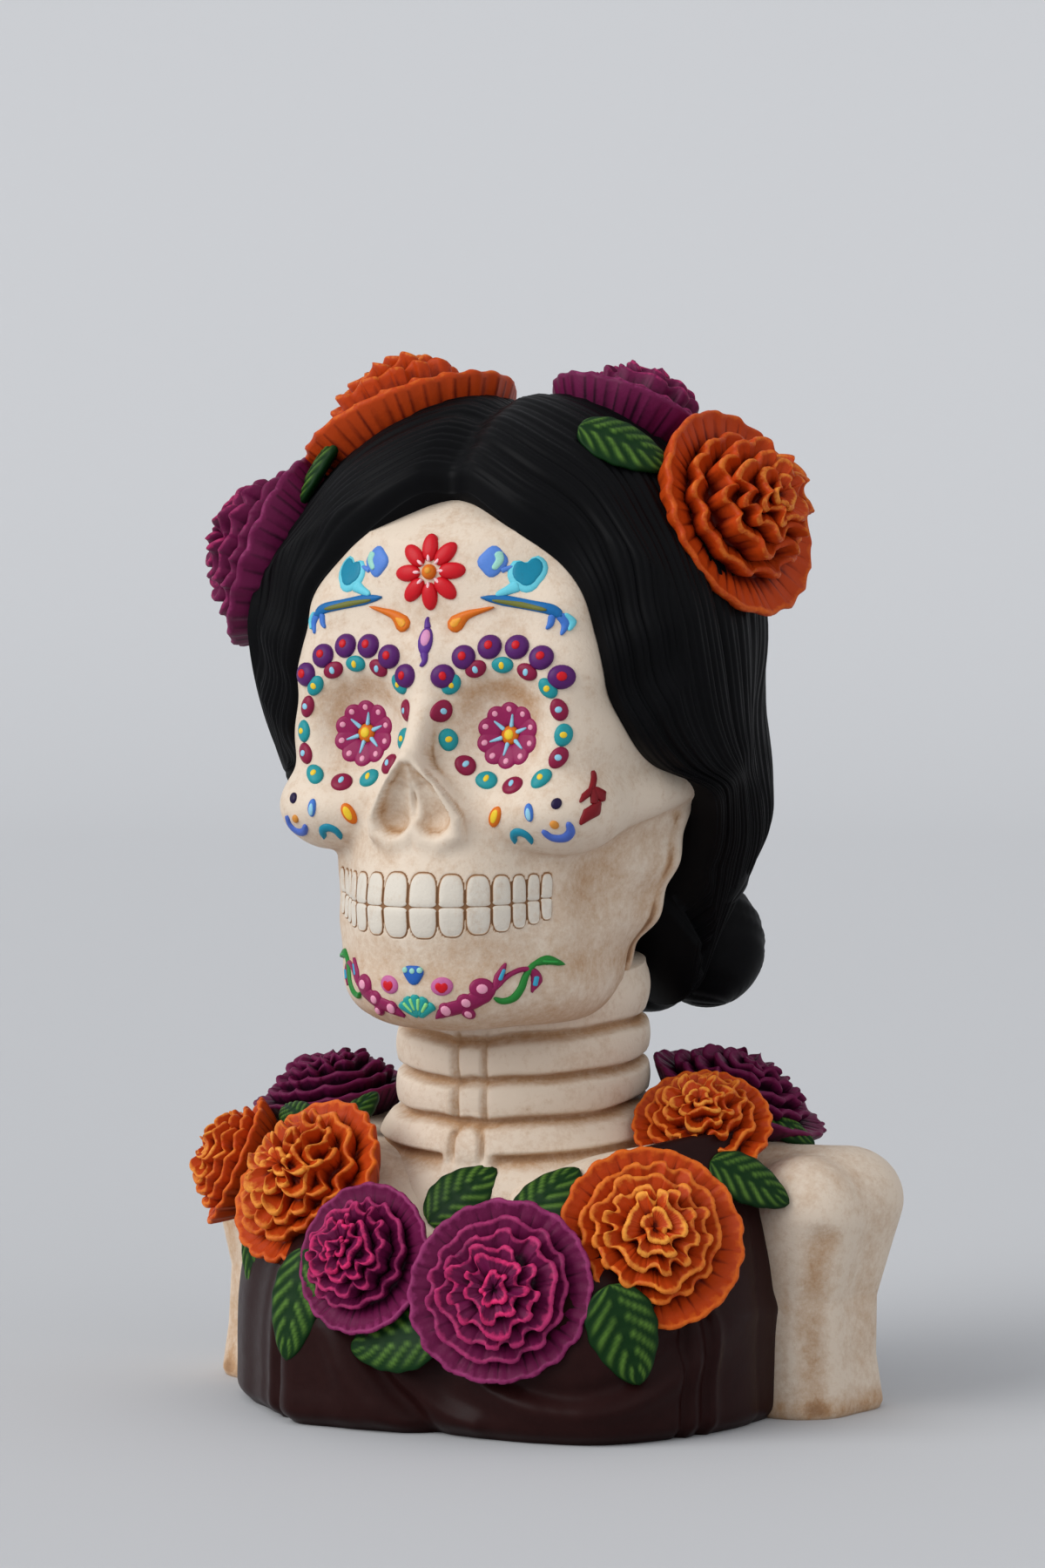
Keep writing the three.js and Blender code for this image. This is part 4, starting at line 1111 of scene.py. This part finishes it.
# %% The twelve flowers
FLOWERS = {
    "garland_purple_right_shoulder": ((-66, 4, 81), (-0.15, -0.1, 1), FULL, 23.5, 11, 1.0),
    "garland_orange_right_side": ((-79, -29, 64), (-0.8, -0.45, 0.4), FULL, 18.5, 11, 1.6),
    "garland_orange_right_front": ((-43.3, -55, 62.5), (-0.3, -0.78, 0.5), FULL, 24.5, 13.5, 1.8),
    "garland_purple_right_front": ((-13, -81, 46.6), (-0.12, -0.92, 0.33), SAUCER, 20.3, 13.5, 1.1),
    "garland_purple_middle": ((29, -83, 40), (0.2, -0.95, 0.22), FULL, 24.5, 12, 1.0),
    "garland_orange_left_front": ((61.5, -60, 53.5), (0.45, -0.8, 0.36), FULL, 24.5, 13.5, 1.0),
    "garland_orange_left_shoulder": ((57, -15, 79), (0.2, -0.65, 0.75), FULL, 19, 12, 1.4),
    "garland_purple_left_shoulder": ((53, 20, 84), (0.4, 0.05, 0.9), FULL, 25.5, 11, 1.0),
    "crown_purple_right": ((-69, -24, 235), (-0.9, -0.2, 0.35), FULL, 28, 18, 1.3),
    "crown_orange_right": ((-35, -8, 271), (-0.42, 0.12, 0.9), SAUCER, 31, 17, 1.0),
    "crown_purple_left": ((28, 6, 272), (0.25, 0.45, 0.9), SAUCER, 25, 14, 1.0),
    "crown_orange_left": ((65.5, -11.5, 246.5), (0.91, -0.27, 0.32), SAUCER, 28.5, 18, 1.2),
}  # middle, facing, form, radius, height, how ruffled


def flower_skin(name, at, facing, form, radius, tall, ruffle, seed):
    """One flower. The crown's flowers and, more so, the purple ones on the shoulders are darkened as painted
    shade.
    """
    columns = int((215 if radius > 23 else 190) * DETAIL)
    grid, rim, core = flower_grid(form, radius, tall, ruffle, columns, seed)
    ends = stood(np.array([[[0, 0, -FOOT_DEPTH * tall], [0, 0, 0.85 * tall]]]), at, facing)[0]
    colour, paint = ("orange", orange) if "orange" in name else ("purple", purple)
    painted_shade = 0.2 * name.startswith("crown") + 0.6 * (name.endswith("shoulder") and colour == "purple")
    skin = Skin().add(stood(grid, at, facing), *ends, rim=rim - painted_shade, core=core * (1 - painted_shade))
    skin.finish(name, colour + "_petals", paint)


for seed, (name, place) in enumerate(FLOWERS.items()):
    flower_skin(name, *place, seed)

# %% [markdown]
# ## Leaves
# A leaf is a pressed pad of clay with its veins drawn in. Its section is thick along the middle,
# and the paint strokes lie between the veins.

# %% One leaf
LEAF_DROOP = 2.0  # how far the tip bends down
VEIN_PAIRS, VEIN_SLANT = 6, 0.33


def leaf_grid(length, width):
    """Rows along the leaf, columns round its section. Half width is a sine drawn towards the foot; the top
    is a low arch with a groove for the midrib and slanting grooves for the veins."""
    rows, columns = detailed(38, 42)
    t = np.linspace(0, 1, rows + 2)[1:-1, None]
    f = turns(columns)
    s = np.cos(f)
    half = width / 2 * np.sin(math.pi * t**0.8) ** 0.6 * (1 - 0.1 * t)
    top = np.sin(f) > 0
    veins = np.sin(math.pi * VEIN_PAIRS * (t - VEIN_SLANT * np.abs(s) ** 0.9 + VEIN_SLANT)) ** 2
    round_section = np.sqrt(np.maximum(0, 1 - s * s))
    arch = 2.4 * round_section * np.sin(math.pi * t) ** 0.4 * (1 - 0.3 * (1 - t) ** 2)
    relief = -0.7 * bell(s, 0.1) - 0.45 * (1 - veins) ** 3 * (1 - bell(s, 0.15)) * (1 - s**8)
    z = np.where(top, arch + relief * np.sin(math.pi * t) ** 0.5, -2.2 * round_section)
    bend = -LEAF_DROOP * t**2
    grid = np.stack([t * length + 0 * s, half * s * (1 + 0.02 * np.sin(30 * t)), z + bend], -1)
    stroke = top * veins**2.5 * ease(0.06, 0.22, np.abs(s)) * ease(0.98, 0.72, np.abs(s)) * ease(1, 0.9, t)
    return grid, stroke


print("a leaf of 20 mm by 10 mm has", leaf_grid(20, 10)[1].size, "points")


# %% The thirteen leaves
LEAVES = (
    ((-7, -54, 53), (9, -49, 70), (0.1, -0.88, 0.4), 17),
    ((24, -63, 54), (36, -53, 72), (-0.1, -0.8, 0.6), 18),
    ((-31, -79, 48), (-37, -88, 19), (-0.2, -0.95, 0.2), 18),
    ((13, -86, 28.5), (-16, -88.7, 24.5), (-0.08, -0.94, 0.33), 19),
    ((57, -76.5, 43), (65.5, -74.5, 16.5), (0.55, -0.83, 0.1), 20),
    ((66, -30, 71), (84, -18, 59), (0.6, -0.62, 0.5), 15),
    ((-64.5, -47, 53), (-61, -58, 29), (-0.5, -0.85, 0.2), 13),
    ((-46, -35, 72), (-42, -15, 83), (0.1, -0.6, 0.8), 10),
    ((-55, -34, 77), (-70, -23, 82), (-0.3, -0.55, 0.8), 10),
    ((60, 10, 81), (80, 13, 74), (0.4, -0.4, 0.82), 11),
    ((30, -37, 269.5), (52, -26, 257.5), (0.5, -0.5, 0.72), 19),
    ((-57, -35, 248), (-42, -28, 269), (-0.7, -0.5, 0.45), 13),
    ((-65, -31, 214), (-68, -22, 190), (-0.95, -0.3, 0.1), 11),
)  # foot, tip, facing, width


def leaves_skin():
    skin = Skin()
    for foot, tip, facing, width in LEAVES:
        along = point(*tip) - point(*foot)
        length = np.linalg.norm(along)
        grid, stroke = leaf_grid(length, width)
        ends = stood(np.array([[[0, 0, 0], [length, 0, -LEAF_DROOP]]], float), foot, facing, along)[0]
        skin.add(stood(grid, foot, facing, along), *ends, stroke=stroke)
    skin.finish("leaves", "leaves", leaf_green)


leaves_skin()

# %% [markdown]
# ## Raised paint
# The ornament is thick paint squeezed on in drops and strokes, so it stands a millimetre or two high.
# Every drop is drawn flat, as seen from ahead in x and z, and then laid on the face along Y.

# %% Drops and strokes
FACE_START_Y = -96.0  # ahead of the whole face
LAYING_STEPS = 60
SUNK, STROKE_SUNK = -0.9, -0.6  # heights of a drop's rim and of a stroke's underside, inside the bone


def lay_on_face(x, z, height):
    """Point of the face straight behind (x, z), found by steps of most of the distance that is left, and then
    moved out along the surface's slope by height."""
    back = point(0, 1, 0)
    start = np.stack([x, np.full(np.shape(x), FACE_START_Y), z], -1)
    depth = np.zeros(np.shape(x))
    for _ in range(LAYING_STEPS):
        depth = depth + np.clip(skull(start + depth[..., None] * back), -2, 2.5) * 0.85
    p = start + depth[..., None] * back
    step = 0.6
    slope = [skull(p + step * axis) - skull(p - step * axis) for axis in np.eye(3)]
    return p + unit(np.stack(slope, -1)) * height[..., None]


enamel_drops = []


def drop(x, z, wide, tall, colour, rise=1.0, turn=0.0, base=0.0, outline=None):
    """A dome whose outline is an oval, or any outline given as a function of the angle; its height falls
    from the middle as the root of 1 minus the cube of the share of the radius."""
    columns = 12 if max(wide, tall) < 1.4 else 22
    s = np.array([0.3, 0.6, 0.82, 0.94, 1.0, 1.02])[:, None]
    a = turns(columns)
    shape = outline(a) if outline else 1.0
    u, v = s * shape * wide * np.cos(a), s * shape * tall * np.sin(a)
    c, d = math.cos(math.radians(turn)), math.sin(math.radians(turn))
    h = base + rise * np.maximum(0, 1 - np.minimum(s, 1) ** 3) ** 0.5 + SUNK * (s > 1) + 0 * a
    enamel_drops.append((x + u * c - v * d, z + u * d + v * c, h, (x, z, base + rise), (x, z, SUNK), colour))


def stroke(knots, widths, colour, rise=0.8, base=0.0):
    """A flattened bar along a curve in x and z: its section is half an oval above the face."""
    rows, columns = 5 * len(knots) + 5, 10
    t = np.linspace(0, 1, rows)
    path = smooth_path(knots, t)
    ahead = unit(np.gradient(path, axis=0))
    width = np.interp(t, np.linspace(0, 1, len(widths)), widths)[:, None]
    width = width * np.minimum(1, np.minimum(t, 1 - t)[:, None] * 9 + 0.25) ** 0.6
    a = turns(columns)
    u = path[:, :1] - ahead[:, 1:] * width * np.cos(a)
    v = path[:, 1:] + ahead[:, :1] * width * np.cos(a)
    h = np.where(np.sin(a) >= -0.01, base + rise * np.sin(a), STROKE_SUNK) * np.ones((rows, 1))
    first, last = (*path[0], base * 0.5), (*path[-1], base * 0.5)
    enamel_drops.append((u, v, h, first, last, colour))


print("the tip of the nose is at", lay_on_face(point(0), point(181), point(0)).round(1))

# %% [markdown]
# ## The ornament
# Both halves of the face carry the same drops in mirror image, so one function draws either half. The
# flower over the brow, the middle of the chin and the sprig on her left cheek are drawn once.

# %% Enamel colours
RED, CRIMSON, MAROON = (0.56, 0.006, 0.014), (0.23, 0.008, 0.045), (0.19, 0.005, 0.01)
WINE, RASPBERRY, MAUVE = (0.25, 0.012, 0.08), (0.27, 0.012, 0.085), (0.50, 0.12, 0.30)
PINK, ROSE, ORCHID = (0.75, 0.32, 0.45), (0.85, 0.52, 0.55), (0.62, 0.26, 0.46)
PURPLE, VIOLET, NIGHT = (0.085, 0.012, 0.125), (0.10, 0.03, 0.24), (0.012, 0.005, 0.04)
YELLOW, AMBER, OCHRE = (0.80, 0.55, 0.03), (0.78, 0.33, 0.03), (0.72, 0.30, 0.03)
ORANGE, RUST, OLIVE = (0.66, 0.15, 0.008), (0.62, 0.25, 0.04), (0.15, 0.16, 0.03)
SKY, CYAN, BLUE = (0.27, 0.56, 0.72), (0.13, 0.56, 0.68), (0.05, 0.17, 0.55)
IRIS, INDIGO, COBALT = (0.09, 0.22, 0.62), (0.07, 0.14, 0.50), (0.02, 0.11, 0.42)
NAVY, STRIPE, TEAL = (0.008, 0.13, 0.36), (0.04, 0.32, 0.50), (0.015, 0.27, 0.30)
SEA, DEEP_SEA, PETROL = (0.02, 0.33, 0.32), (0.01, 0.22, 0.33), (0.004, 0.21, 0.33)
MINT, LIME, FERN = (0.30, 0.62, 0.52), (0.30, 0.72, 0.24), (0.03, 0.33, 0.06)
GREEN = (0.015, 0.20, 0.03)
print("each colour is red, green and blue light; mint is", MINT)


# %% One half of the face
class Half:
    """Drops and strokes of one half of the face: side is 1 for her left, and -1 for her right, where x and
    turns change sign."""

    def __init__(self, side):
        self.side = side

    def drop(self, x, z, wide, tall, colour, rise, turn=0.0, **more):
        drop(self.side * x, z, wide, tall, colour, rise, self.side * turn, **more)

    def stroke(self, knots, *look):
        stroke([(self.side * x, z) for x, z in knots], *look)


def on_ring(x, z, wide, degrees, tall=None):
    """Point of a circle round (x, z), or of an oval that is also tall."""
    a = math.radians(degrees)
    return x + wide * math.cos(a), z + (tall or wide) * math.sin(a)


def petals(x, z, count, radius, width, colour, rise, turn=0.0):
    """Petals round a middle, each a drop that narrows towards it."""
    for k in range(count):
        a = turn + 360 * k / count
        drop(*on_ring(x, z, radius * 0.6, a), radius * 0.42, width, colour, rise, a,
             outline=lambda v: 1 + 0.2 * np.cos(v) - 0.06 * np.cos(2 * v))


print("a quarter of the way round a circle of 10 mm:", on_ring(0, 0, 10, 90))

# %% Round the eyes
EYE_RING = ((34.7, 199.4), (28.9, 203.7), (21.9, 205.5), (14.5, 204.4), (7.7, 200.2), (5.3, 193.1),
            (6.6, 185.4), (11.3, 178.6), (17.5, 174.7), (25.5, 173.5), (33.8, 175.5), (37.7, 181),
            (38.7, 187), (37.5, 193.7))


def brow_and_ring(half):
    """Six beads on a circle over the socket, and fourteen drops round it, teal and crimson by turns."""
    for k in range(6):
        x, z = on_ring(21.8, 190.6, 20, 144 - 21.6 * k)
        half.drop(x, z, 3.35, 3.3, PURPLE, 1.9)
        drop(half.side * x + 0.1, z + 0.1, 1.15, 1.15, RED, 0.6, base=1.75)
    for k, (x, z) in enumerate(EYE_RING):
        turn = math.degrees(math.atan2(z - 189, x - 22.5))
        colour, dot = (CRIMSON, SKY) if k % 2 else (TEAL, YELLOW)
        half.drop(x, z, 2.2, 3.1, colour, 1.1, turn)
        half.drop(x, z, 0.8, 0.9, dot, 0.4, base=0.95)


def eye_flower(half):
    """Ten petals with a bead on each, six pale strokes and a round middle, turned alike on both sides."""
    x, z = half.side * 21.5, 186.6
    petals(x, z, 10, 8.3, 2.9, RASPBERRY, 1.0, 18)
    for turn in range(18, 378, 36):
        drop(*on_ring(x, z, 7.2, turn), 0.85, 0.85, PINK, 0.4, base=0.75)
    for turn in range(20, 380, 60):
        stroke([on_ring(x, z, r, turn) for r in (2.2, 4.2, 6.0)], (0.65, 0.5, 0.25), SKY, 0.35, 0.95)
    drop(x, z, 2.7, 2.7, ORANGE, 1.6)
    drop(x, z, 1.5, 1.6, YELLOW, 0.7, base=1.3)


# %% On the forehead
def heart(a):
    """Outline of a heart standing on its tip, as a share of its size."""
    notch, tip = 0.30 * bell(np.sin(a) - 1, 0.10), 0.22 * bell(np.sin(a) + 1, 0.12)
    return 0.78 + 0.22 * np.abs(np.cos(a)) ** 1.2 - notch + tip


def forehead_side(half):
    """A blue bud and its stem, a heart with its tail, the long bar that ends in three tips, and a flame."""
    half.drop(17.2, 233.0, 3.7, 4.0, IRIS, 0.9, outline=lambda a: 1 + 0.08 * np.cos(4 * a))
    half.stroke([(18.4, 235.4), (19.0, 233.2), (17.6, 230.8)], (1.1, 1.1, 0.8), MINT, 0.4, 0.75)
    half.stroke([(19.6, 230.6), (22.4, 231.6)], (0.9, 0.5), IRIS, 0.6)
    half.drop(26.2, 230.2, 5.0, 5.5, CYAN, 0.8, 14, outline=heart)
    half.drop(26.2, 230.5, 3.7, 4.2, PETROL, 0.4, 14, base=0.6, outline=heart)
    half.stroke([(24.4, 226.8), (22.0, 225.4), (18.8, 224.0)], (2.0, 1.3, 0.8), CYAN, 0.7)
    half.stroke([(14.8, 223.4), (21, 222.6), (28, 221.4), (34.0, 220.2), (36.6, 218.4)],
                (0.6, 1.5, 1.4, 1.5, 1.2), NAVY, 0.8)
    half.stroke([(18, 222.6), (26, 221.4), (33, 220.0)], (0.4, 0.8, 0.5), OLIVE, 0.35, 0.65)
    half.stroke([(36.2, 219.0), (37.6, 216.4), (36.8, 213.4)], (1.3, 1.1, 0.4), BLUE, 0.7)
    half.stroke([(37.4, 219.2), (39.0, 217.0), (38.4, 214.6)], (0.5, 0.9, 0.5), CYAN, 0.6, 0.2)
    half.stroke([(34.4, 218.8), (34.0, 216.4), (33.0, 215.0)], (1.0, 0.9, 0.4), BLUE, 0.7)
    half.stroke([(18.4, 220.8), (14.6, 219.8), (10.8, 218.6), (8.2, 216.6), (6.4, 214.8)],
                (0.4, 0.75, 1.3, 2.4, 1.9), ORANGE, 1.0)
    half.stroke([(9.6, 217.8), (8.0, 216.6), (7.0, 215.6)], (0.4, 1.2, 0.9), AMBER, 0.4, 0.8)


def forehead_middle():
    """The red flower with a pale streak on each petal, and the violet drop with its tips below it."""
    z = 230.2
    petals(0, z, 8, 9.6, 2.15, RED, 1.5, 3)
    for turn in range(3, 363, 45):
        stroke([on_ring(0, z, r, turn) for r in (2.7, 4.2, 5.5)], (0.3, 0.55, 0.45), ROSE, 0.35, 1.05)
    drop(0, z, 2.1, 2.1, ORANGE, 1.9)
    drop(0.2, z + 0.2, 0.9, 0.9, OCHRE, 0.5, base=1.7)
    drop(0, 211.6, 2.6, 3.9, VIOLET, 1.0, outline=lambda a: 0.82 + 0.18 * np.abs(np.sin(a)) ** 3)
    drop(0.2, 212.3, 1.3, 2.2, ORCHID, 0.5, base=0.8)
    stroke([(0, 215.0), (-0.4, 217.0), (-0.1, 218.2)], (1.1, 0.7, 0.3), VIOLET, 0.7)
    stroke([(0, 208.6), (0.4, 206.4), (-0.6, 204.9)], (1.3, 0.8, 0.5), VIOLET, 0.8)


# %% On the cheeks
def cheek(half):
    """A dark dot, a blue and an orange drop with their lights, and two hooks, the outer one with a dot."""
    half.drop(39.2, 169.0, 1.3, 1.5, NIGHT, 0.7)
    half.drop(32.3, 166.6, 1.25, 2.5, BLUE, 0.8, 6)
    half.drop(32.3, 166.2, 0.7, 1.6, SKY, 0.35, 6, base=0.6)
    half.drop(21.8, 165.2, 1.8, 3.1, ORANGE, 0.9, -28)
    half.drop(22.0, 165.4, 1.0, 1.9, YELLOW, 0.4, -28, base=0.7)
    inner_hook = [on_ring(28.5, 158.9, 2.6, a, 2.4) for a in (-10, 40, 90, 140, 190)]
    half.stroke(inner_hook, (0.9, 1.05, 1.05, 1.05, 0.9), DEEP_SEA, 0.8)
    outer_hook = [on_ring(38.6, 163.0, 3.6, a, 3.4) for a in (20, -25, -70, -115, -160)]
    half.stroke(outer_hook, (0.8, 0.95, 1.0, 1.0, 0.9), INDIGO, 0.8)
    half.drop(38.6, 163.4, 1.15, 1.15, RUST, 0.7)


def cheek_sprig():
    """A stem that parts into three leaves, and a tail below them, on her left cheek only."""
    for knots, widths in (([(44.5, 177.4), (45.3, 174.6), (45.7, 172.4)], (0.3, 0.45, 0.6)),
                          ([(45.5, 173.0), (45.1, 171.2), (44.3, 169.2)], (0.4, 0.95, 0.3)),
                          ([(45.9, 173.0), (47.1, 171.4), (48.1, 169.3)], (0.4, 0.95, 0.3)),
                          ([(45.8, 172.6), (46.5, 170.8), (46.9, 168.8)], (0.5, 0.6, 0.6)),
                          ([(47.6, 169.4), (46.5, 166.6), (44.2, 163.5)], (0.4, 1.6, 0.3))):
        stroke(knots, widths, MAROON, 0.8)


# %% On the chin
def chin_side(half):
    """An oval with a heart, a sprig of four lobes with dots, its two blue-striped tips, and the vine."""
    half.drop(7.8, 119.8, 3.0, 2.5, MAUVE, 0.8, 14)
    half.drop(7.8, 119.8, 1.7, 1.6, RED, 0.4, base=0.65, outline=heart)
    half.stroke([(4.6, 111.3), (8.6, 113.4), (13.4, 114.9), (17.6, 117.6), (20.6, 119.4)],
                (0.7, 1.9, 1.9, 2.3, 0.7), WINE, 0.8)
    for x, z, size, dot in ((8.0, 113.5, 1.9, 1.3), (13.4, 115.6, 2.3, 1.15),
                            (17.4, 119.2, 2.9, 1.3), (13.2, 112.6, 1.7, 0.9)):
        half.drop(x, z, size, size, WINE, 1.0)
        half.drop(x, z + 0.1, dot, dot, PINK, 0.5, base=0.8)
    half.stroke([(20.2, 118.8), (21.3, 122.4), (22.5, 126.0)], (0.7, 1.15, 0.3), WINE, 0.8)
    half.stroke([(21.2, 121.4), (22.1, 124.4)], (0.5, 0.4), STRIPE, 0.4, 0.6)
    arch = [(20.8, 119.4), (22.0, 121.4), (23.6, 123.0), (25.8, 124.1), (27.8, 123.4), (28.4, 120.9),
            (27.3, 117.9)]
    half.stroke(arch, (0.6, 0.65, 0.65, 0.7, 0.9, 1.15, 0.3), WINE, 0.8)
    half.stroke([(28.3, 122.2), (27.9, 119.6)], (0.5, 0.45), STRIPE, 0.4, 0.6)
    vine = [(19.9, 116.7), (21.5, 115.7), (23.8, 116.5), (25.5, 119.1), (26.4, 122.5), (27.8, 125.2),
            (29.8, 126.3)]
    half.stroke(vine, (0.7, 0.85, 0.85, 0.75, 0.65, 0.65, 0.8), GREEN, 0.9)
    half.stroke([(28.0, 125.4), (30.4, 126.3), (33.2, 125.0)], (0.7, 1.4, 0.5), GREEN, 1.0)
    half.stroke([(29.2, 126.1), (32.0, 125.8)], (0.35, 0.3), FERN, 0.3, 0.85)


def chin_middle():
    """A blue drop that narrows downwards under three dots, and a fan of five lobes with four strokes."""
    drop(0, 122.9, 3.1, 2.8, COBALT, 0.9, outline=lambda a: 0.95 + 0.11 * np.cos(3 * a + 1.5 * math.pi))
    for x in (-2.1, 0, 2.1):
        drop(x, 123.9 + 0.1 * abs(x), 0.8, 0.8, MINT, 0.45, base=0.7)
    fan_z = 111.4
    for k in range(5):
        stroke([on_ring(0, fan_z, r, 34 + 28 * k) for r in (0.4, 6.0)], (0.945, 1.35), SEA, 0.9)
    for k in range(4):
        stroke([on_ring(0, fan_z, r, 50 + 27 * k) for r in (2.2, 5.2)], (0.35, 0.5), LIME, 0.35, 0.7)


for half in (Half(-1), Half(1)):
    for ornament in (brow_and_ring, eye_flower, forehead_side, cheek, chin_side):
        ornament(half)
forehead_middle()
chin_middle()
cheek_sprig()
print(len(enamel_drops), "drops and strokes")

# %% Laying the ornament on the face
def ornament_skin():
    """All the drops are laid on the face in one go, as one long list of points."""
    sizes = [d[0].size + 2 for d in enamel_drops]
    flat = [np.concatenate([np.ravel(d[k]), [d[3][k], d[4][k]]]) for d in enamel_drops for k in (0, 1, 2)]
    x, z, h = (np.concatenate(flat[k::3]) for k in (0, 1, 2))
    laid = np.split(lay_on_face(x, z, h), np.cumsum(sizes)[:-1])
    skin = Skin()
    for (u, _, _, _, _, colour), points in zip(enamel_drops, laid):
        grid = points[:-2].reshape(*u.shape, 3)
        skin.add(grid, points[-2], points[-1], paint=np.broadcast_to(point(*colour), grid.shape))
    skin.finish("raised_paint", "ornament", enamel)


ornament_skin()

# %% [markdown]
# ## Floor, light and camera
# The bust stands on a pale table that curves up behind it, under a large soft light from the front
# left of the picture and a weak one from its right, with even light from all round. The camera stands
# where the photographer stood: 25 degrees to her left, 1.45 m away.

# %% The table
CAMERA = dict(turn=25.0, distance=1450, height=232, focal_pixels=5950, picture_height=1800)
AIM = point(-3.3, -1.5, 170.8)  # the spot in the middle of the picture
GREY, DAYLIGHT = rgb(0.56, 0.57, 0.585), rgb(0.575, 0.58, 0.60)


def in_scene(name, data):
    made = bpy.data.objects.new(name, data)
    bpy.context.collection.objects.link(made)
    return made


def table():
    """Floor, a quarter circle and a wall, in metres, turned to face the camera."""
    bend = np.linspace(0, math.pi / 2, 40)
    profile = [(-12, 0)] + [(3 + 2.5 * math.sin(a), 2.5 - 2.5 * math.cos(a)) for a in bend] + [(5.5, 9)]
    across = np.linspace(-14, 14, 9)
    points = np.array([[(x, y, z) for x in across] for y, z in profile])
    corner = np.arange(points.shape[0] * points.shape[1]).reshape(points.shape[:2])
    quads = np.stack([corner[:-1, :-1], corner[:-1, 1:], corner[1:, 1:], corner[1:, :-1]], -1)
    mesh = bpy.data.meshes.new("sweep")
    mesh.from_pydata(points.reshape(-1, 3).tolist(), [], quads.reshape(-1, 4).tolist())
    mesh.polygons.foreach_set("use_smooth", [True] * len(mesh.polygons))
    mesh.transform(Matrix.Rotation(math.radians(CAMERA["turn"]), 4, "Z"))
    paint = Paint("sweep_paint", Roughness=0.8, Specular_IOR_Level=0.2)
    mesh.materials.append(paint.set(Base_Color=GREY))
    sweep = in_scene("sweep", mesh)
    print("the table has", len(mesh.polygons), "faces")


table()


# %% The lights
def turned_to(thing, backwards):
    """Turns a light or a camera so that it looks away from the direction backwards."""
    thing.rotation_mode = "QUATERNION"
    thing.rotation_quaternion = Vector(backwards.tolist()).to_track_quat("Z", "Y")


def daylight():
    world = bpy.data.worlds.new("studio")
    bpy.context.scene.world = world
    world.use_nodes = True
    background = world.node_tree.nodes["Background"]
    background.inputs["Color"].default_value = DAYLIGHT
    background.inputs["Strength"].default_value = 1.0


def sun(name, azimuth, elevation, strength, softness):
    """A light from an angle round from the face, minus towards her right, and an angle up, in degrees."""
    light = in_scene(name, bpy.data.lights.new(name, "SUN"))
    light.data.energy, light.data.angle = strength, math.radians(softness)
    turned_to(light, from_degrees(azimuth, elevation))


daylight()
sun("key", -36, 31, 2.0, 46)
sun("fill", 60, 30, 0.3, 60)
print("lights:", ", ".join(light.name for light in bpy.data.lights))


# %% The camera
def camera():
    made = in_scene("camera", bpy.data.cameras.new("camera"))
    made.data.sensor_width = 36
    made.data.lens = 36 * CAMERA["focal_pixels"] / CAMERA["picture_height"]
    place = from_degrees(CAMERA["turn"], 0) * CAMERA["distance"] + point(0, 0, CAMERA["height"])
    made.location = (place * MM).tolist()
    turned_to(made, (place - AIM) * MM)
    made.data.clip_start, made.data.clip_end = 0.01, 100
    bpy.context.scene.camera = made
    print("camera at, in mm:", place.round().tolist())


camera()
bpy.context.scene.view_settings.view_transform = "Standard"
